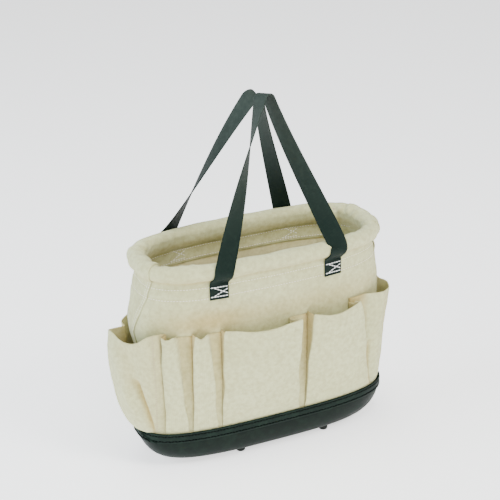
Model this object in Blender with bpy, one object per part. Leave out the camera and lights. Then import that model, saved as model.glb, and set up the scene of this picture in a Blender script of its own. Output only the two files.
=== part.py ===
"""Oval canvas tool bucket with a moulded base, ten outside pockets and two webbing handles.

X runs along the bucket, -Y is its front, and Z = 0 is the floor under the four feet.
"""
import math

import bmesh
import bpy
import numpy as np
from mathutils import Vector

# Finishes: base colour, roughness and metallic value
CANVAS_FINISH = ((0.62, 0.60, 0.48), 0.95, 0.0)
WEBBING_FINISH = ((0.022, 0.036, 0.028), 0.8, 0.0)
BASE_FINISH = ((0.030, 0.048, 0.038), 0.45, 0.0)
FOOT_FINISH = ((0.020, 0.026, 0.022), 0.4, 0.0)
STEEL_FINISH = ((0.55, 0.55, 0.56), 0.35, 1.0)
ROPE_FINISH = ((0.55, 0.45, 0.30), 0.95, 0.0)
SHARP_ANGLE = 35

# Canvas, seams and the plan outline
CANVAS_THICKNESS = 0.0012
SEAM_GAP = 0.0003
PLAN_POWER = 3.1
STATION_COUNT = 48
CORNER_WEIGHT_SHARE = 0.45
WELD_DISTANCE = 0.000001

# Rim: a rope hoop inside a rolled hem
RIM_LENGTH = 0.381
RIM_WIDTH = 0.1548
RIM_RISE = 0.273
HEM_ROLL_RADIUS = 0.0127
HEM_ROLL_START = -60
HEM_ROLL_STEP = 37.5
HEM_ROLL_STEPS = 8
HEM_FLAP_DEPTH = 0.035
HEM_JOIN_STEP = 0.00038
ROPE_CLEARANCE = 0.0005
ROPE_SIDES = 8

# Body wall at its widest height
WAIST_LENGTH = 0.400
WAIST_WIDTH = 0.157
WAIST_RISE = 0.138
END_STRIP_WIDTH = 0.076

# Moulded base
BASE_LENGTH = 0.4256
BASE_WIDTH = 0.1504
TRAY_DEPTH = 0.056
TRAY_WALL = 0.0022
TRAY_ROUND_LENGTH = 0.040
TRAY_ROUND_WIDTH = 0.015
TRAY_ROUND_HEIGHT = 0.049
BAND_HEIGHT = 0.016
BAND_THICKNESS = 0.0012
BAND_LIP_HEIGHT = 0.0004

# Feet, riveted through the tray and the canvas floor
FOOT_HEIGHT = 0.009
FOOT_RADIUS = 0.0075
FOOT_TREAD_RADIUS = 0.0055
FOOT_SHANK_RADIUS = 0.0025
FOOT_HEAD_RADIUS = 0.0045
FOOT_HEAD_HEIGHT = 0.0014
FOOT_ROW_INSET = 0.0097
LEFT_FEET_INSET = 0.1158
RIGHT_FEET_INSET = 0.0778
WASHER_RADIUS = 0.0060
WASHER_THICKNESS = 0.0010
FOOT_SIDES = 12

# Pockets: the seams between them lie at these shares of the bucket's half length along the front
POCKET_SEAM_SHARES = (-0.880, -0.700, -0.465, 0.213, 0.800)
POCKET_HEIGHT = 0.178
POCKET_TOP_SAG = 0.008
POCKET_TAIL_CLEARANCE = 0.0003
PLEAT_GAP = 0.0015
POCKET_RISE_SHARES = (0.12, 0.35, 0.65, 1.0)
POCKET_DEPTH_POWER = 0.7
POCKET_BULGE_POWER = 0.6
LEAST_COLUMN_WIDTH = 0.004
# At the top, how far each pocket's two corners stand out and lean, and how far its face bulges.
# A low depth power brings the face out soon above the base
POCKET_FORMS = {
    "narrow_pocket_1": {"depths": (0.015, 0.015), "leans": (0, -0.017), "bulge": 0.002},
    "narrow_pocket_2": {"depths": (0.015, 0.016), "leans": (0.004, -0.017), "bulge": 0.002},
    "wide_pocket_1": {"depths": (0.015, 0.025), "leans": (0.003, -0.012), "bulge": 0.003},
    "wide_pocket_2": {"depths": (0.020, 0.018), "leans": (0.002, -0.028), "bulge": 0.004},
    "right_end_pocket": {"depths": (0.004, 0.006), "leans": (0, 0), "bulge": 0.0195},
    "left_end_pocket": {"depths": (0.004, 0.006), "leans": (0, 0), "bulge": 0.033,
                        "depth_power": 0.3},
}

# Handles
WEBBING_WIDTH = 0.030
WEBBING_THICKNESS = 0.0018
WEBBING_CLEARANCE = 0.0005
SEWN_END_LENGTH = 0.0275
SEWN_END_DROP = 0.0175
LOOP_HINGE_RISE = 0.017
HINGE_CLEARANCE = 0.0005
LEG_SEGMENTS = 12
CREST_SEGMENTS = 3
WRAP_SEGMENTS = 4
FRONT_HANDLE = {
    "side": -1,
    "sewn_x": (-0.0955, 0.0955),
    "leg_x": (-0.0905, 0.1013),
    "crest": (0.0094, -0.019, 0.2443),
    "crest_radius": 0.0082,
    "ridge_heading": -75.1,
    "ridge_tilt": 11.1,
    "ridge_ways": (-1, 1),
    "twist_powers": (1.27, 0.5),
}
BACK_HANDLE = {
    "side": 1,
    "sewn_x": (-0.1045, 0.0935),
    "leg_x": (-0.1120, 0.0885),
    "crest": (0.0187, 0.037, 0.2243),
    "crest_radius": 0.0120,
    "ridge_heading": -78.9,
    "ridge_tilt": -22.6,
    "ridge_ways": (1, -1),
    "twist_powers": (0.61, 0.5),
}

# Values that follow from the sizes above
RIM_HALF = Vector((RIM_LENGTH / 2, RIM_WIDTH / 2))
WAIST_HALF = Vector((WAIST_LENGTH / 2, WAIST_WIDTH / 2))
BASE_HALF = Vector((BASE_LENGTH / 2, BASE_WIDTH / 2))
TRAY_INSET = BAND_THICKNESS + SEAM_GAP
TRAY_FLOOR_INSET = TRAY_INSET + TRAY_WALL
TAIL_DEPTH = SEAM_GAP + POCKET_TAIL_CLEARANCE + CANVAS_THICKNESS
WALL_INSET = TRAY_FLOOR_INSET + SEAM_GAP + TAIL_DEPTH
WALL_LAP = CANVAS_THICKNESS + SEAM_GAP / 2
HEM_HOLLOW = HEM_ROLL_RADIUS - CANVAS_THICKNESS
FLAT_ANGLES = (0, 20, 50, 90)
BASE_TOP_HEIGHT = FOOT_HEIGHT + TRAY_DEPTH
WAIST_HEIGHT = BASE_TOP_HEIGHT + WAIST_RISE
RIM_HEIGHT = BASE_TOP_HEIGHT + RIM_RISE
SEWN_END_TOP = RIM_HEIGHT - SEWN_END_DROP
SEWN_END_BOTTOM = SEWN_END_TOP - SEWN_END_LENGTH
LOOP_HINGE_HEIGHT = RIM_HEIGHT + LOOP_HINGE_RISE
CREASE_Z = RIM_HEIGHT - math.sqrt(HEM_ROLL_RADIUS ** 2 - WALL_LAP ** 2)
FLAP_BOTTOM_Z = CREASE_Z - HEM_FLAP_DEPTH
POCKET_LEVELS = [BASE_TOP_HEIGHT + POCKET_HEIGHT * share for share in POCKET_RISE_SHARES]
WALL_LEVELS = sorted([BASE_TOP_HEIGHT] + POCKET_LEVELS + [FLAP_BOTTOM_Z, CREASE_Z])


def both(distance):
    """The same distance along X and along Y."""
    return Vector((distance, distance))


def superellipse(angle):
    """A point of the unit plan outline."""
    def curve(value):
        return math.copysign(abs(value) ** (2 / PLAN_POWER), value)
    return curve(math.cos(angle)), curve(math.sin(angle))


def outline_stations():
    """Unit outline points, spread by length and closer together round the corners."""
    fine = [superellipse(2 * math.pi * k / (STATION_COUNT * STATION_COUNT))
            for k in range(STATION_COUNT * STATION_COUNT + 1)]
    points = np.array(fine)
    steps = np.diff(points * np.array(WAIST_HALF), axis=0)
    lengths = np.hypot(steps[:, 0], steps[:, 1])
    headings = np.unwrap(np.arctan2(steps[:, 1], steps[:, 0]))
    turns = np.abs(np.diff(headings, append=headings[0] + 2 * math.pi))
    weights = lengths / lengths.sum() + CORNER_WEIGHT_SHARE * turns / turns.sum()
    reached = np.concatenate(([0], np.cumsum(weights)))
    wanted = reached[-1] * np.arange(STATION_COUNT) / STATION_COUNT
    return [(float(np.interp(w, reached, points[:, 0])), float(np.interp(w, reached, points[:, 1])))
            for w in wanted]


STATIONS = outline_stations()
STATION_STEPS = [
    math.hypot((b[0] - a[0]) * WAIST_HALF.x, (b[1] - a[1]) * WAIST_HALF.y)
    for a, b in zip(STATIONS, STATIONS[1:] + STATIONS[:1])]
STATION_PLACES = [0] + list(np.cumsum(STATION_STEPS))
GIRTH = STATION_PLACES[-1]


def unit_at(place):
    """Unit outline point at a length round the waist from the +X end, on the flat facets."""
    place = place % GIRTH
    closed = STATIONS + STATIONS[:1]
    return Vector((float(np.interp(place, STATION_PLACES, [p[0] for p in closed])),
                   float(np.interp(place, STATION_PLACES, [p[1] for p in closed]))))


def spot(place, half, height):
    """A point on the ring of the given half sizes."""
    unit = unit_at(place)
    return Vector((unit.x * half.x, unit.y * half.y, height))


def place_of_x(x, side, half):
    """Length round the outline where a ring of these half sizes reaches x on one side."""
    quarter = STATION_COUNT // 2
    if side < 0:
        places, points = STATION_PLACES[quarter:], STATIONS[quarter:] + STATIONS[:1]
    else:
        places = STATION_PLACES[:quarter + 1][::-1]
        points = STATIONS[:quarter + 1][::-1]
    return float(np.interp(x / half.x, [p[0] for p in points], places))


def depth_at_x(x, side, half):
    """Y of a ring at x, on the side with that sign."""
    return spot(place_of_x(x, side, half), half, 0).y


def base_ring(inset, angle):
    """Half sizes and height of the rounded base, moved in by inset, at an angle up its round."""
    turn = math.radians(angle)
    tray_in = inset - TRAY_INSET
    reach = Vector((TRAY_ROUND_LENGTH, TRAY_ROUND_WIDTH)) - both(tray_in)
    half = BASE_HALF - both(inset) - reach * (1 - math.sin(turn))
    height = FOOT_HEIGHT + tray_in + (TRAY_ROUND_HEIGHT - tray_in) * (1 - math.cos(turn))
    return half, height


def wall_curve(height):
    """Outside half sizes of the canvas wall above the base, as a smooth curve."""
    lip = BASE_HALF - both(WALL_INSET)
    crease = RIM_HALF + both(WALL_LAP)
    if height <= WAIST_HEIGHT:
        share = (height - BASE_TOP_HEIGHT) / (WAIST_HEIGHT - BASE_TOP_HEIGHT)
        return lip.lerp(WAIST_HALF, 1 - (1 - max(share, 0)) ** 2)
    share = (height - WAIST_HEIGHT) / (CREASE_Z - WAIST_HEIGHT)
    return WAIST_HALF.lerp(crease, share ** 2)


WALL_CURVE = [wall_curve(level) for level in WALL_LEVELS]


def wall_half(height):
    """Outside half sizes of the wall on the flat facets between its levels."""
    return Vector((float(np.interp(height, WALL_LEVELS, [half.x for half in WALL_CURVE])),
                   float(np.interp(height, WALL_LEVELS, [half.y for half in WALL_CURVE]))))


# Shared ways of making a piece
def finish_mesh(bm, name, finish):
    """Turn a closed bmesh into a named object with its own material."""
    colour, roughness, metallic = finish
    bmesh.ops.remove_doubles(bm, verts=bm.verts, dist=WELD_DISTANCE)
    bmesh.ops.recalc_face_normals(bm, faces=bm.faces)
    mesh = bpy.data.meshes.new(name)
    bm.to_mesh(mesh)
    bm.free()
    mesh.shade_smooth()
    mesh.set_sharp_from_angle(angle=math.radians(SHARP_ANGLE))
    piece = bpy.data.objects.new(name, mesh)
    bpy.context.scene.collection.objects.link(piece)
    material = bpy.data.materials.new(name)
    material.use_nodes = True
    shader = material.node_tree.nodes["Principled BSDF"]
    shader.inputs["Base Color"].default_value = (*colour, 1.0)
    shader.inputs["Roughness"].default_value = roughness
    shader.inputs["Metallic"].default_value = metallic
    mesh.materials.append(material)
    return piece


def sweep(columns, profile_count, place, twisted=False):
    """A grid bent so that each column is a closed profile, out one way and back the other.

    Each end is closed by quads across the profile's thickness. A twisted strap has its two faces
    split along the same diagonals, which keeps it as thick all over.
    """
    bm = bmesh.new()
    bmesh.ops.create_grid(bm, x_segments=columns, y_segments=profile_count, size=1)
    if twisted:
        for method, way in (("FIXED", -1), ("ALTERNATE", 1)):
            half = [face for face in bm.faces if face.calc_center_median().y * way > 0]
            bmesh.ops.triangulate(bm, faces=half, quad_method=method)
    corners = {}
    for vertex in bm.verts:
        column = round((vertex.co.x + 1) / 2 * columns)
        point = round((vertex.co.y + 1) / 2 * profile_count)
        vertex.co = place(column, point % profile_count)
        corners[column, point] = vertex
    for column in (0, columns):
        for point in range(profile_count // 2 - 1):
            back = profile_count - 1 - point
            bm.faces.new([corners[column, k] for k in (point, point + 1, back - 1, back)])
    bmesh.ops.remove_doubles(bm, verts=bm.verts, dist=WELD_DISTANCE)
    return bm


def fill_open_edges(bm):
    open_edges = [edge for edge in bm.edges if edge.is_boundary]
    if open_edges:
        bmesh.ops.holes_fill(bm, edges=open_edges, sides=0)


def ring_sweep(rings, capped):
    """Closed rings round the whole bucket, each a (half sizes, height) pair."""
    bm = bmesh.new()
    rows = len(rings) - 1 if capped else len(rings)
    bmesh.ops.create_grid(bm, x_segments=STATION_COUNT, y_segments=rows, size=1)
    for vertex in bm.verts:
        column = round((vertex.co.x + 1) / 2 * STATION_COUNT) % STATION_COUNT
        row = round((vertex.co.y + 1) / 2 * rows) % len(rings)
        half, height = rings[row]
        vertex.co = spot(STATION_PLACES[column], half, height)
    bmesh.ops.remove_doubles(bm, verts=bm.verts, dist=WELD_DISTANCE)
    fill_open_edges(bm)
    return bm


def lathe(profile, sides):
    """A full turn of an (radius, height) profile about Z."""
    bm = bmesh.new()
    corners = [bm.verts.new((radius, 0, height)) for radius, height in profile]
    edges = [bm.edges.new(pair) for pair in zip(corners, corners[1:])]
    if profile[0][0] > 0 and profile[-1][0] > 0:
        edges.append(bm.edges.new((corners[-1], corners[0])))
    bmesh.ops.spin(bm, geom=corners + edges, cent=(0, 0, 0), axis=(0, 0, 1), dvec=(0, 0, 0),
                   angle=2 * math.pi, steps=sides, use_merge=True, use_duplicate=False)
    bmesh.ops.remove_doubles(bm, verts=bm.verts, dist=WELD_DISTANCE)
    return bm


# Base
def base_tray():
    """Moulded tray with a rounded bottom, holed for the feet."""
    outer = [base_ring(TRAY_INSET, angle) for angle in FLAT_ANGLES]
    inner = [base_ring(TRAY_FLOOR_INSET, angle) for angle in FLAT_ANGLES]
    outer.append((BASE_HALF - both(TRAY_INSET), BASE_TOP_HEIGHT))
    inner.append((BASE_HALF - both(TRAY_FLOOR_INSET), BASE_TOP_HEIGHT))
    tray = finish_mesh(ring_sweep(outer + inner[::-1], True), "base_tray", BASE_FINISH)
    cut_foot_holes(tray)


def base_band():
    """Stitched strip round the lip of the tray."""
    outside = BASE_HALF
    inside = BASE_HALF - both(BAND_THICKNESS)
    top = BASE_TOP_HEIGHT + BAND_LIP_HEIGHT
    bottom = BASE_TOP_HEIGHT - BAND_HEIGHT
    rings = [(inside, bottom), (outside, bottom), (outside, top), (inside, top)]
    finish_mesh(ring_sweep(rings, False), "base_band", BASE_FINISH)


def canvas_floor():
    """Canvas bottom, turned up a little outside the walls, holed for the feet."""
    inset = TRAY_FLOOR_INSET + SEAM_GAP
    outer = [base_ring(inset, angle) for angle in FLAT_ANGLES[:2]]
    inner = [base_ring(inset + CANVAS_THICKNESS, angle) for angle in FLAT_ANGLES[:2]]
    floor = finish_mesh(ring_sweep(outer + inner[::-1], True), "canvas_floor", CANVAS_FINISH)
    cut_foot_holes(floor)


def foot_places():
    """Feet stand in from the edge of the tray's flat bottom."""
    flat, _ = base_ring(TRAY_INSET, 0)
    for row, side in (("front", -1), ("back", 1)):
        for end, x in (("left", LEFT_FEET_INSET - flat.x), ("right", flat.x - RIGHT_FEET_INSET)):
            yield f"{row}_{end}", Vector((x, side * (flat.y - FOOT_ROW_INSET), 0))


def cut_foot_holes(piece):
    """Take the shank holes out of a flat bottom."""
    low = FOOT_HEIGHT - TRAY_WALL
    high = FOOT_HEIGHT + TRAY_WALL + SEAM_GAP + CANVAS_THICKNESS + TRAY_WALL
    bore = FOOT_SHANK_RADIUS + SEAM_GAP
    for name, centre in foot_places():
        bm = bmesh.new()
        bmesh.ops.create_cone(bm, cap_ends=True, segments=FOOT_SIDES, radius1=bore, radius2=bore,
                              depth=high - low)
        cutter = finish_mesh(bm, f"{piece.name}_{name}_cutter", STEEL_FINISH)
        cutter.location = centre + Vector((0, 0, (low + high) / 2))
        cutter.hide_render = True
        cutter.display_type = "WIRE"
        hole = piece.modifiers.new(f"{name}_hole", "BOOLEAN")
        hole.operation = "DIFFERENCE"
        hole.solver = "EXACT"
        hole.object = cutter


def feet():
    """Round studs, each one piece with its shank and peened head, and a washer inside."""
    floor_top = FOOT_HEIGHT + TRAY_WALL + SEAM_GAP + CANVAS_THICKNESS
    washer_low = floor_top + SEAM_GAP
    washer_high = washer_low + WASHER_THICKNESS
    head_low = washer_high + SEAM_GAP
    head_high = head_low + FOOT_HEAD_HEIGHT
    seat = FOOT_HEIGHT - SEAM_GAP
    shoulder = (FOOT_RADIUS - FOOT_TREAD_RADIUS) / 2
    stud = [(0, 0), (FOOT_TREAD_RADIUS, 0), (FOOT_RADIUS - shoulder / 2, shoulder),
            (FOOT_RADIUS, seat - shoulder), (FOOT_RADIUS, seat), (FOOT_SHANK_RADIUS, seat),
            (FOOT_SHANK_RADIUS, head_low), (FOOT_HEAD_RADIUS, head_low),
            (FOOT_SHANK_RADIUS, head_high), (0, head_high)]
    hole = FOOT_SHANK_RADIUS + SEAM_GAP
    washer = [(hole, washer_low), (WASHER_RADIUS, washer_low), (WASHER_RADIUS, washer_high),
              (hole, washer_high)]
    for name, centre in foot_places():
        finish_mesh(lathe(stud, FOOT_SIDES), f"{name}_foot", FOOT_FINISH).location = centre
        ring = finish_mesh(lathe(washer, FOOT_SIDES), f"{name}_foot_washer", STEEL_FINISH)
        ring.location = centre


# Canvas body
def wall_profile():
    """One wall from the base up to the crease under the roll: (half sizes, height) pairs."""
    outer = [base_ring(WALL_INSET, angle) for angle in FLAT_ANGLES[1:]]
    inner = [base_ring(WALL_INSET + CANVAS_THICKNESS, angle) for angle in FLAT_ANGLES[1:]]
    for height in WALL_LEVELS:
        outer.append((wall_half(height), height))
        inner.append((wall_half(height) - both(CANVAS_THICKNESS), height))
    inner[-1] = (inner[-1][0], RIM_HEIGHT - HEM_HOLLOW)
    return outer + inner[::-1]


def stepped_from(start, towards, distance):
    """The pair of half sizes and height that lies this far from one pair towards another."""
    gone = Vector((towards[0].x - start[0].x, towards[1] - start[1]))
    share = distance / gone.length
    return start[0].lerp(towards[0], share), start[1] + gone.y * share


def hem_profile():
    """The rest of the same cloth, over the rope and down inside the wall."""
    angles = [math.radians(HEM_ROLL_START + HEM_ROLL_STEP * k) for k in range(HEM_ROLL_STEPS + 1)]

    def roll(radius, angle):
        return RIM_HALF + both(radius * math.cos(angle)), RIM_HEIGHT + radius * math.sin(angle)
    over = [roll(HEM_ROLL_RADIUS, angle) for angle in angles]
    back = [roll(HEM_HOLLOW, angle) for angle in angles[::-1]]
    flap_out = wall_half(FLAP_BOTTOM_Z) - both(CANVAS_THICKNESS + SEAM_GAP)
    flap = [(RIM_HALF - both(WALL_LAP), CREASE_Z),
            (flap_out - both(CANVAS_THICKNESS), FLAP_BOTTOM_Z),
            (flap_out, FLAP_BOTTOM_Z),
            (RIM_HALF - both(SEAM_GAP / 2), RIM_HEIGHT - HEM_HOLLOW)]
    first = stepped_from((RIM_HALF + both(WALL_LAP), CREASE_Z), over[0], HEM_JOIN_STEP)
    last = stepped_from((RIM_HALF + both(SEAM_GAP / 2), RIM_HEIGHT - HEM_HOLLOW), back[-1],
                        HEM_JOIN_STEP)
    return [first] + over + flap + back + [last]


def columns_between(start, end, keep_clear):
    """Places from start to end with every outline station that lies between them."""
    laps = [turn * GIRTH + place for turn in (-1, 0, 1, 2) for place in STATION_PLACES[:-1]]
    inside = [place for place in sorted(laps) if start + keep_clear < place < end - keep_clear]
    return [start] + inside + [end]


def canvas_piece(name, profile, start, end):
    """A wall or a hem from one place on the outline to another."""
    columns = columns_between(start + SEAM_GAP / 2, end - SEAM_GAP / 2, SEAM_GAP)

    def place(column, point):
        half, height = profile[point]
        return spot(columns[column], half, height)
    finish_mesh(sweep(len(columns) - 1, len(profile), place), name, CANVAS_FINISH)


def canvas_body():
    """Front and back panels and the strip that joins them at each end, each with its hem.

    Wall and hem are split at the crease. A long hem is cut again under each leg of its handle.
    """
    half_strip = END_STRIP_WIDTH / 2
    nearest = min(range(STATION_COUNT // 4),
                  key=lambda k: abs(STATIONS[k][1] * WAIST_HALF.y - half_strip))
    reach = STATION_PLACES[nearest]
    left_end = GIRTH / 2
    for name, middle in (("right_end", 0), ("left_end", left_end)):
        canvas_piece(f"{name}_strip", wall_profile(), middle - reach, middle + reach)
        canvas_piece(f"{name}_hem", hem_profile(), middle - reach, middle + reach)
    for name, side, handle, start in (("front", -1, FRONT_HANDLE, left_end), ("back", 1, BACK_HANDLE, 0)):
        start, end = start + reach, start + left_end - reach
        canvas_piece(f"{name}_panel", wall_profile(), start, end)
        cuts = sorted(place_of_x(x, side, RIM_HALF) for x in handle["sewn_x"])
        parts = ("left", "middle", "right")[::-side]
        for part, first, last in zip(parts, [start] + cuts, cuts + [end]):
            canvas_piece(f"{name}_{part}_hem", hem_profile(), first, last)


def rim_rope():
    """Rope hoop that keeps the rim open."""
    radius = HEM_HOLLOW * math.cos(math.radians(HEM_ROLL_STEP / 2)) - ROPE_CLEARANCE
    rings = []
    for k in range(ROPE_SIDES):
        angle = 2 * math.pi * k / ROPE_SIDES
        rings.append((RIM_HALF + both(radius * math.cos(angle)), RIM_HEIGHT + radius * math.sin(angle)))
    finish_mesh(ring_sweep(rings, False), "rim_rope", ROPE_FINISH)


# Pockets
def lerp(pair, share):
    return pair[0] + (pair[1] - pair[0]) * share


def pocket(name, form, start, end):
    """A pleated pocket: a face and two gussets, tapering to a tail inside the base."""
    faces = columns_between(start, end, LEAST_COLUMN_WIDTH)
    columns = [faces[0]] + faces + [faces[-1]]
    last = len(columns) - 1
    tail = [base_ring(TRAY_FLOOR_INSET + SEAM_GAP, angle) for angle in FLAT_ANGLES[2:]]
    tail.append((wall_half(BASE_TOP_HEIGHT) + both(TAIL_DEPTH), BASE_TOP_HEIGHT))
    wall_side = [base_ring(WALL_INSET - SEAM_GAP, angle) for angle in FLAT_ANGLES[2:]]
    wall_side.append((wall_half(BASE_TOP_HEIGHT) + both(SEAM_GAP), BASE_TOP_HEIGHT))
    rows = len(tail) + len(POCKET_RISE_SHARES)

    def place(column, point):
        outside = point < rows
        row = point if outside else 2 * rows - 1 - point
        wall_edge = column in (0, last)
        across = (columns[column] - start) / (end - start)
        along = columns[column]
        if not outside:
            inward = CANVAS_THICKNESS if column <= 1 else -CANVAS_THICKNESS
            along += inward if column <= 1 or column >= last - 1 else 0
        thickness = 0 if outside else CANVAS_THICKNESS
        if row < len(tail):
            if wall_edge:
                half, height = wall_side[row]
                return spot(along, half, height)
            half, height = tail[row]
            return spot(along, half - both(thickness), height)
        share = POCKET_RISE_SHARES[row - len(tail)]
        sag = POCKET_TOP_SAG * math.sin(math.pi * across)
        height = BASE_TOP_HEIGHT + (POCKET_HEIGHT - sag) * share
        opened = share ** form.get("depth_power", POCKET_DEPTH_POWER)
        if wall_edge:
            return spot(along, wall_half(height) + both(SEAM_GAP), height)
        bulge = form["bulge"] * max(math.sin(math.pi * across), 0) ** POCKET_BULGE_POWER
        depth = TAIL_DEPTH + (lerp(form["depths"], across) + bulge - TAIL_DEPTH) * opened
        along += lerp(form["leans"], across) * opened
        return spot(along, wall_half(height) + both(depth - thickness), height)
    finish_mesh(sweep(last, 2 * rows, place), name, CANVAS_FINISH)


def pockets():
    """Five pockets on the front half of the outline, and the same five turned half round."""
    seams = [place_of_x(share * WAIST_HALF.x, -1, WAIST_HALF) for share in POCKET_SEAM_SHARES]
    seams.append(seams[0] + GIRTH / 2)
    front_kinds = ("narrow_pocket_1", "narrow_pocket_2", "wide_pocket_1", "wide_pocket_2")
    for side, end_kind, shift in (("front", "right_end_pocket", 0),
                                  ("back", "left_end_pocket", -GIRTH / 2)):
        for kind, start, end in zip(front_kinds + (end_kind,), seams, seams[1:]):
            name = kind if kind == end_kind else f"{side}_{kind}"
            pocket(name, POCKET_FORMS[kind], start + shift, end + shift - PLEAT_GAP)


# Handles
def leg_route(handle, end):
    """Centre line of one leg, from its sewn end to the top of the crest.

    Each point has the share of the twist reached there, or None while the strap lies on canvas.
    """
    side = handle["side"]
    sewn_x, leg_x = handle["sewn_x"][end], handle["leg_x"][end]
    lift = WEBBING_THICKNESS / 2 + SEAM_GAP + WEBBING_CLEARANCE

    def on_wall(height):
        half = wall_half(height) + both(lift)
        return abs(depth_at_x(sewn_x, side, half))
    reach = HEM_ROLL_RADIUS + lift

    def core(x):
        return abs(depth_at_x(x, side, RIM_HALF))
    start = Vector((on_wall(SEWN_END_TOP) - core(sewn_x), SEWN_END_TOP - RIM_HEIGHT))
    touch = math.atan2(start.y, start.x) + math.acos(reach / start.length)
    crest = Vector(handle["crest"]) + Vector((0, 0, RIM_HEIGHT))
    leave = math.atan((core(leg_x) + reach - side * crest.y) / (crest.z - RIM_HEIGHT))
    route = [(Vector((sewn_x, side * on_wall(height), height)), None)
             for height in (SEWN_END_BOTTOM, SEWN_END_TOP)]
    for k in range(WRAP_SEGMENTS + 1):
        share = k / WRAP_SEGMENTS
        angle = touch + (leave - touch) * share
        x = sewn_x + (leg_x - sewn_x) * (share + 1) / 2
        route.append((Vector((x, side * (core(x) + reach * math.cos(angle)),
                              RIM_HEIGHT + reach * math.sin(angle))), None))
    base = route[-1][0]
    ridge = ridge_of(handle)
    level = ridge.cross(Vector((0, 0, 1))).normalized()
    level = -level if level.x < 0 else level
    up = level.cross(ridge).normalized()
    up = -up if up.z < 0 else up
    way = (-1, 1)[end]
    radius = handle["crest_radius"]
    middle = crest - up * radius
    drop = base - crest
    slope = math.atan2(-drop.dot(up), drop.dot(level) * way)

    def crest_point(angle):
        return middle + level * way * radius * math.sin(angle) + up * radius * math.cos(angle)
    top = crest_point(slope)
    top_pull = level * way * math.cos(slope) - up * math.sin(slope)
    third = (top - base).length / 3
    pulls = (base, base + (top - base).normalized() * third, top + top_pull * third, top)
    for k in range(1, LEG_SEGMENTS + 1):
        share = k / LEG_SEGMENTS
        rest = 1 - share
        point = (pulls[0] * rest ** 3 + pulls[1] * 3 * rest ** 2 * share
                 + pulls[2] * 3 * rest * share ** 2 + pulls[3] * share ** 3)
        route.append((point, share ** handle["twist_powers"][end]))
    for k in range(1, CREST_SEGMENTS + 1):
        route.append((crest_point(slope * (1 - k / CREST_SEGMENTS)), 1.0))
    return route


def ridge_of(handle):
    """Direction of the crest line across the webbing."""
    heading = math.radians(handle["ridge_heading"])
    tilt = math.radians(handle["ridge_tilt"])
    return Vector((math.cos(tilt) * math.cos(heading), math.cos(tilt) * math.sin(heading),
                   math.sin(tilt)))


def squared_to(vector, direction):
    return (vector - direction * vector.dot(direction)).normalized()


def leg_frames(handle, end):
    """Centre, across and outward directions at each station of one leg, going up."""
    route = leg_route(handle, end)
    side = handle["side"]
    sewn_x = handle["sewn_x"][end]
    half = wall_half(SEWN_END_TOP)
    before = depth_at_x(sewn_x - WEBBING_WIDTH / 2, side, half)
    after = depth_at_x(sewn_x + WEBBING_WIDTH / 2, side, half)
    flat = Vector((WEBBING_WIDTH, after - before, 0)).normalized() * -side
    final = ridge_of(handle) * handle["ridge_ways"][end]
    frames = []
    for k, (centre, share) in enumerate(route):
        ahead = route[min(k + 1, len(route) - 1)][0]
        behind = route[max(k - 1, 0)][0]
        along = (ahead - behind).normalized()
        across = flat
        if share is not None:
            start, finish = squared_to(flat, along), squared_to(final, along)
            turn = math.atan2(along.dot(start.cross(finish)), start.dot(finish)) * share
            across = start * math.cos(turn) + along.cross(start) * math.sin(turn)
        frames.append((centre, across, across.cross(along).normalized()))
    return frames


def handle_frames(handle):
    """The whole strap, up the left leg, over the crest and down the right leg."""
    left = leg_frames(handle, 0)
    right = [(centre, -across, out) for centre, across, out in leg_frames(handle, 1)]
    return left + right[-2::-1]


def webbing(frames):
    """Flat strap through the frames."""
    def place(column, point):
        centre, across, out = frames[column]
        edge = (-1, 1, 1, -1)[point] * WEBBING_WIDTH / 2
        face = (1, 1, -1, -1)[point] * WEBBING_THICKNESS / 2
        return centre + across * edge + out * face
    return sweep(len(frames) - 1, 4, place, twisted=True)


def keep_between(bm, low, high, way):
    """Cut a strap by level planes, and keep the part on one side of x = 0."""
    cuts = []
    if low is not None:
        cuts.append((Vector((0, 0, low)), Vector((0, 0, -1))))
    if high is not None:
        cuts.append((Vector((0, 0, high)), Vector((0, 0, 1))))
    if way:
        cuts.append((Vector((0, 0, 0)), Vector((-way, 0, 0))))
    for origin, outward in cuts:
        bmesh.ops.bisect_plane(bm, geom=bm.verts[:] + bm.edges[:] + bm.faces[:], plane_co=origin,
                               plane_no=outward, clear_outer=True)
        fill_open_edges(bm)
    return bm


def hinge_place(handle, height):
    """Axis just outside everything that the strap has at this height."""
    side = handle["side"]
    bm = webbing(handle_frames(handle))
    cut = bmesh.ops.bisect_plane(bm, geom=bm.verts[:] + bm.edges[:] + bm.faces[:],
                                 plane_co=Vector((0, 0, height)), plane_no=Vector((0, 0, 1)))
    corners = [item for item in cut["geom_cut"] if isinstance(item, bmesh.types.BMVert)]
    outermost = max(side * corner.co.y for corner in corners)
    bm.free()
    return Vector((0, side * (outermost + HINGE_CLEARANCE), height))


def hinge_empty(name, location, parent=None):
    empty = bpy.data.objects.new(name, None)
    bpy.context.scene.collection.objects.link(empty)
    empty.location = location
    if parent:
        empty.location = location - parent.location
        empty.parent = parent
    return empty


def hang_on(piece, empty, place):
    """Parent a piece to its hinge empty, keeping where it is."""
    piece.parent = empty
    piece.location = -place


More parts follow.
